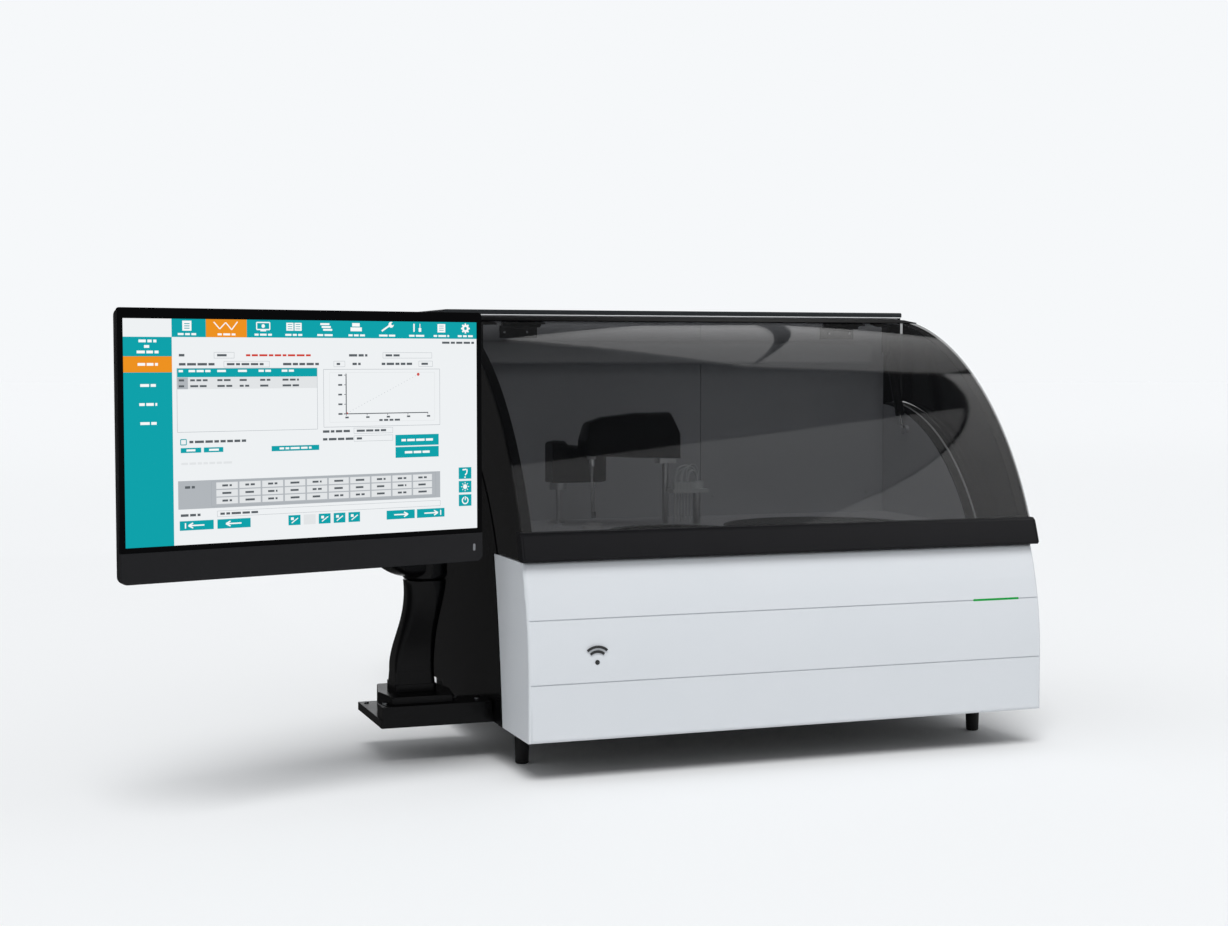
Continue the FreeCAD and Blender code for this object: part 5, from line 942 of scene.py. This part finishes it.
waves = dict(x=105.0, z=176.0, radii=(9.0, 16.0, 23.0), thick=4.0, spread=88.0, slack=0.1, sides=120, dot=3.6,
             lift=0.15, colour="#121314")


def makeWaves():
    centre = Vector((waves["x"], -waves["lift"], waves["z"]))
    parts = []
    bpy.ops.mesh.primitive_circle_add(vertices=24, radius=waves["dot"], fill_type="NGON", location=centre,
                                      rotation=(math.pi / 2, 0, 0))
    parts.append(bpy.context.object)
    for radius in waves["radii"]:
        outer, inner = radius + waves["thick"] / 2, radius - waves["thick"] / 2
        bpy.ops.mesh.primitive_circle_add(vertices=waves["sides"], radius=outer, location=centre,
                                          rotation=(math.pi / 2, 0, 0))
        arc = bpy.context.object
        bpy.ops.object.transform_apply(location=True, rotation=True, scale=False)
        bpy.ops.object.mode_set(mode="EDIT")
        bpy.ops.mesh.select_all(action="SELECT")
        bpy.ops.mesh.extrude_region()
        bpy.ops.transform.resize(value=(inner / outer,) * 3, center_override=centre)
        bpy.ops.mesh.select_mode(type="VERT")
        bpy.ops.mesh.select_all(action="DESELECT")
        bpy.ops.object.mode_set(mode="OBJECT")
        for corner in arc.data.vertices:
            away = corner.co - centre
            turn = abs(math.degrees(math.atan2(away.x, away.z)))
            corner.select = turn > waves["spread"] / 2 + waves["slack"]
        bpy.ops.object.mode_set(mode="EDIT")
        bpy.ops.mesh.delete(type="VERT")
        bpy.ops.object.mode_set(mode="OBJECT")
        parts.append(arc)
    choose(*parts)
    bpy.ops.object.join()
    piece = bpy.context.object
    piece.name = "wireless_pictogram"
    bpy.ops.object.transform_apply(location=True, rotation=True, scale=True)
    piece.scale = (mm, mm, mm)
    piece.location = housingCorner
    bpy.ops.object.transform_apply(location=True, rotation=False, scale=True)
    piece.data.materials.clear()
    piece.data.materials.append(moulded("printedBlack", waves["colour"], "#17181A", 0.5))
    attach(piece, "housing")


makeWaves()
print("front pictogram printed")


# Stage

stage = dict(size=120.0, floorColour="#F2F3F4", skyColour="#F6F8FA", fillColour="#F4F6F8", fill=0.58)

# Bright cards, a dark ceiling and two dark flags that only glossy surfaces see: corners and strength
reflectors = {
    "reflectorBehind": (
        [(860, 2260, 2600), (1400, 1110, 2600), (2400, 4170, 2600), (1780, 3850, 2600)], 1.3),
    "reflectorRight": (
        [(1410, 1120, 2600), (2010, 910, 2600), (2420, 1500, 2600), (2500, 4100, 2600)], 1.3),
    "reflectorAbove": (
        [(-500, -1804, 2600), (1990, 124, 2600), (2110, -4500, 2600), (-900, -4500, 2600)], 1.4),
    "reflectorSide": (
        [(1990, 900, 2600), (2110, -4500, 2600), (5200, -4500, 2600), (5200, 900, 2600)], 2.8),
    "ceiling": (
        [(-9000, 9000, 2700), (9000, 9000, 2700), (9000, -9000, 2700), (-9000, -9000, 2700)], 0.06),
    "flagLeft": (
        [(-3600, 3600, 2400), (-120, 3600, 2400), (-120, 3600, -10), (-3600, 3600, -10)], 0.06),
    "flagFloor": (
        [(-3600, 3600, 4), (-30, 3600, 4), (-30, 120, 4), (-3600, 120, 4)], 0.06),
}


def makeStage():
    bpy.ops.mesh.primitive_plane_add(size=stage["size"], location=(0, 0, 0))
    floor = bpy.context.object
    floor.name = "floor"
    paper, _ = newFinish("floorPaper", Base_Color=hexColour(stage["floorColour"]), Roughness=0.8,
                         Specular_IOR_Level=0.1)
    floor.data.materials.append(paper)
    world = bpy.data.worlds.new("softStudio")
    bpy.context.scene.world = world
    world.use_nodes = True
    tree = world.node_tree
    for node in list(tree.nodes):
        tree.nodes.remove(node)
    out = tree.nodes.new("ShaderNodeOutputWorld")
    fill, seen, mix = (tree.nodes.new(kind) for kind in ("ShaderNodeBackground", "ShaderNodeBackground",
                                                         "ShaderNodeMixShader"))
    fill.inputs["Color"].default_value = hexColour(stage["fillColour"])
    fill.inputs["Strength"].default_value = stage["fill"]
    seen.inputs["Color"].default_value = hexColour(stage["skyColour"])
    seen.inputs["Strength"].default_value = 1.0
    path = tree.nodes.new("ShaderNodeLightPath")
    either = [tree.nodes.new("ShaderNodeMath") for _ in range(2)]
    for step in either:
        step.operation = "MAXIMUM"
    tree.links.new(path.outputs["Is Camera Ray"], either[0].inputs[0])
    tree.links.new(path.outputs["Is Glossy Ray"], either[0].inputs[1])
    tree.links.new(either[0].outputs[0], either[1].inputs[0])
    tree.links.new(path.outputs["Is Transmission Ray"], either[1].inputs[1])
    tree.links.new(either[1].outputs[0], mix.inputs["Fac"])
    tree.links.new(fill.outputs[0], mix.inputs[1])
    tree.links.new(seen.outputs[0], mix.inputs[2])
    tree.links.new(mix.outputs[0], out.inputs["Surface"])


def makeReflector(name, corners, strength):
    bpy.ops.mesh.primitive_plane_add(size=1)
    card = bpy.context.object
    card.name = name
    places = [inFrame(*corner) for corner in corners]
    for vertex, place in zip(card.data.vertices, (places[0], places[1], places[3], places[2])):
        vertex.co = place
    glow, _ = newFinish(name + "Light", Base_Color=hexColour("#000000"), Specular_IOR_Level=0.0,
                        Roughness=1.0, Emission_Color=hexColour("#FFFFFF"), Emission_Strength=strength)
    card.data.materials.append(glow)
    for ray in ("camera", "diffuse", "transmission", "shadow", "volume_scatter"):
        setattr(card, "visible_" + ray, False)


makeStage()
makeCamera()
for cardName, (corners, strength) in reflectors.items():
    makeReflector(cardName, corners, strength)
aimSun("keyAbove")
bpy.context.scene.view_settings.view_transform = "Standard"
print("stage, camera and lamps made")
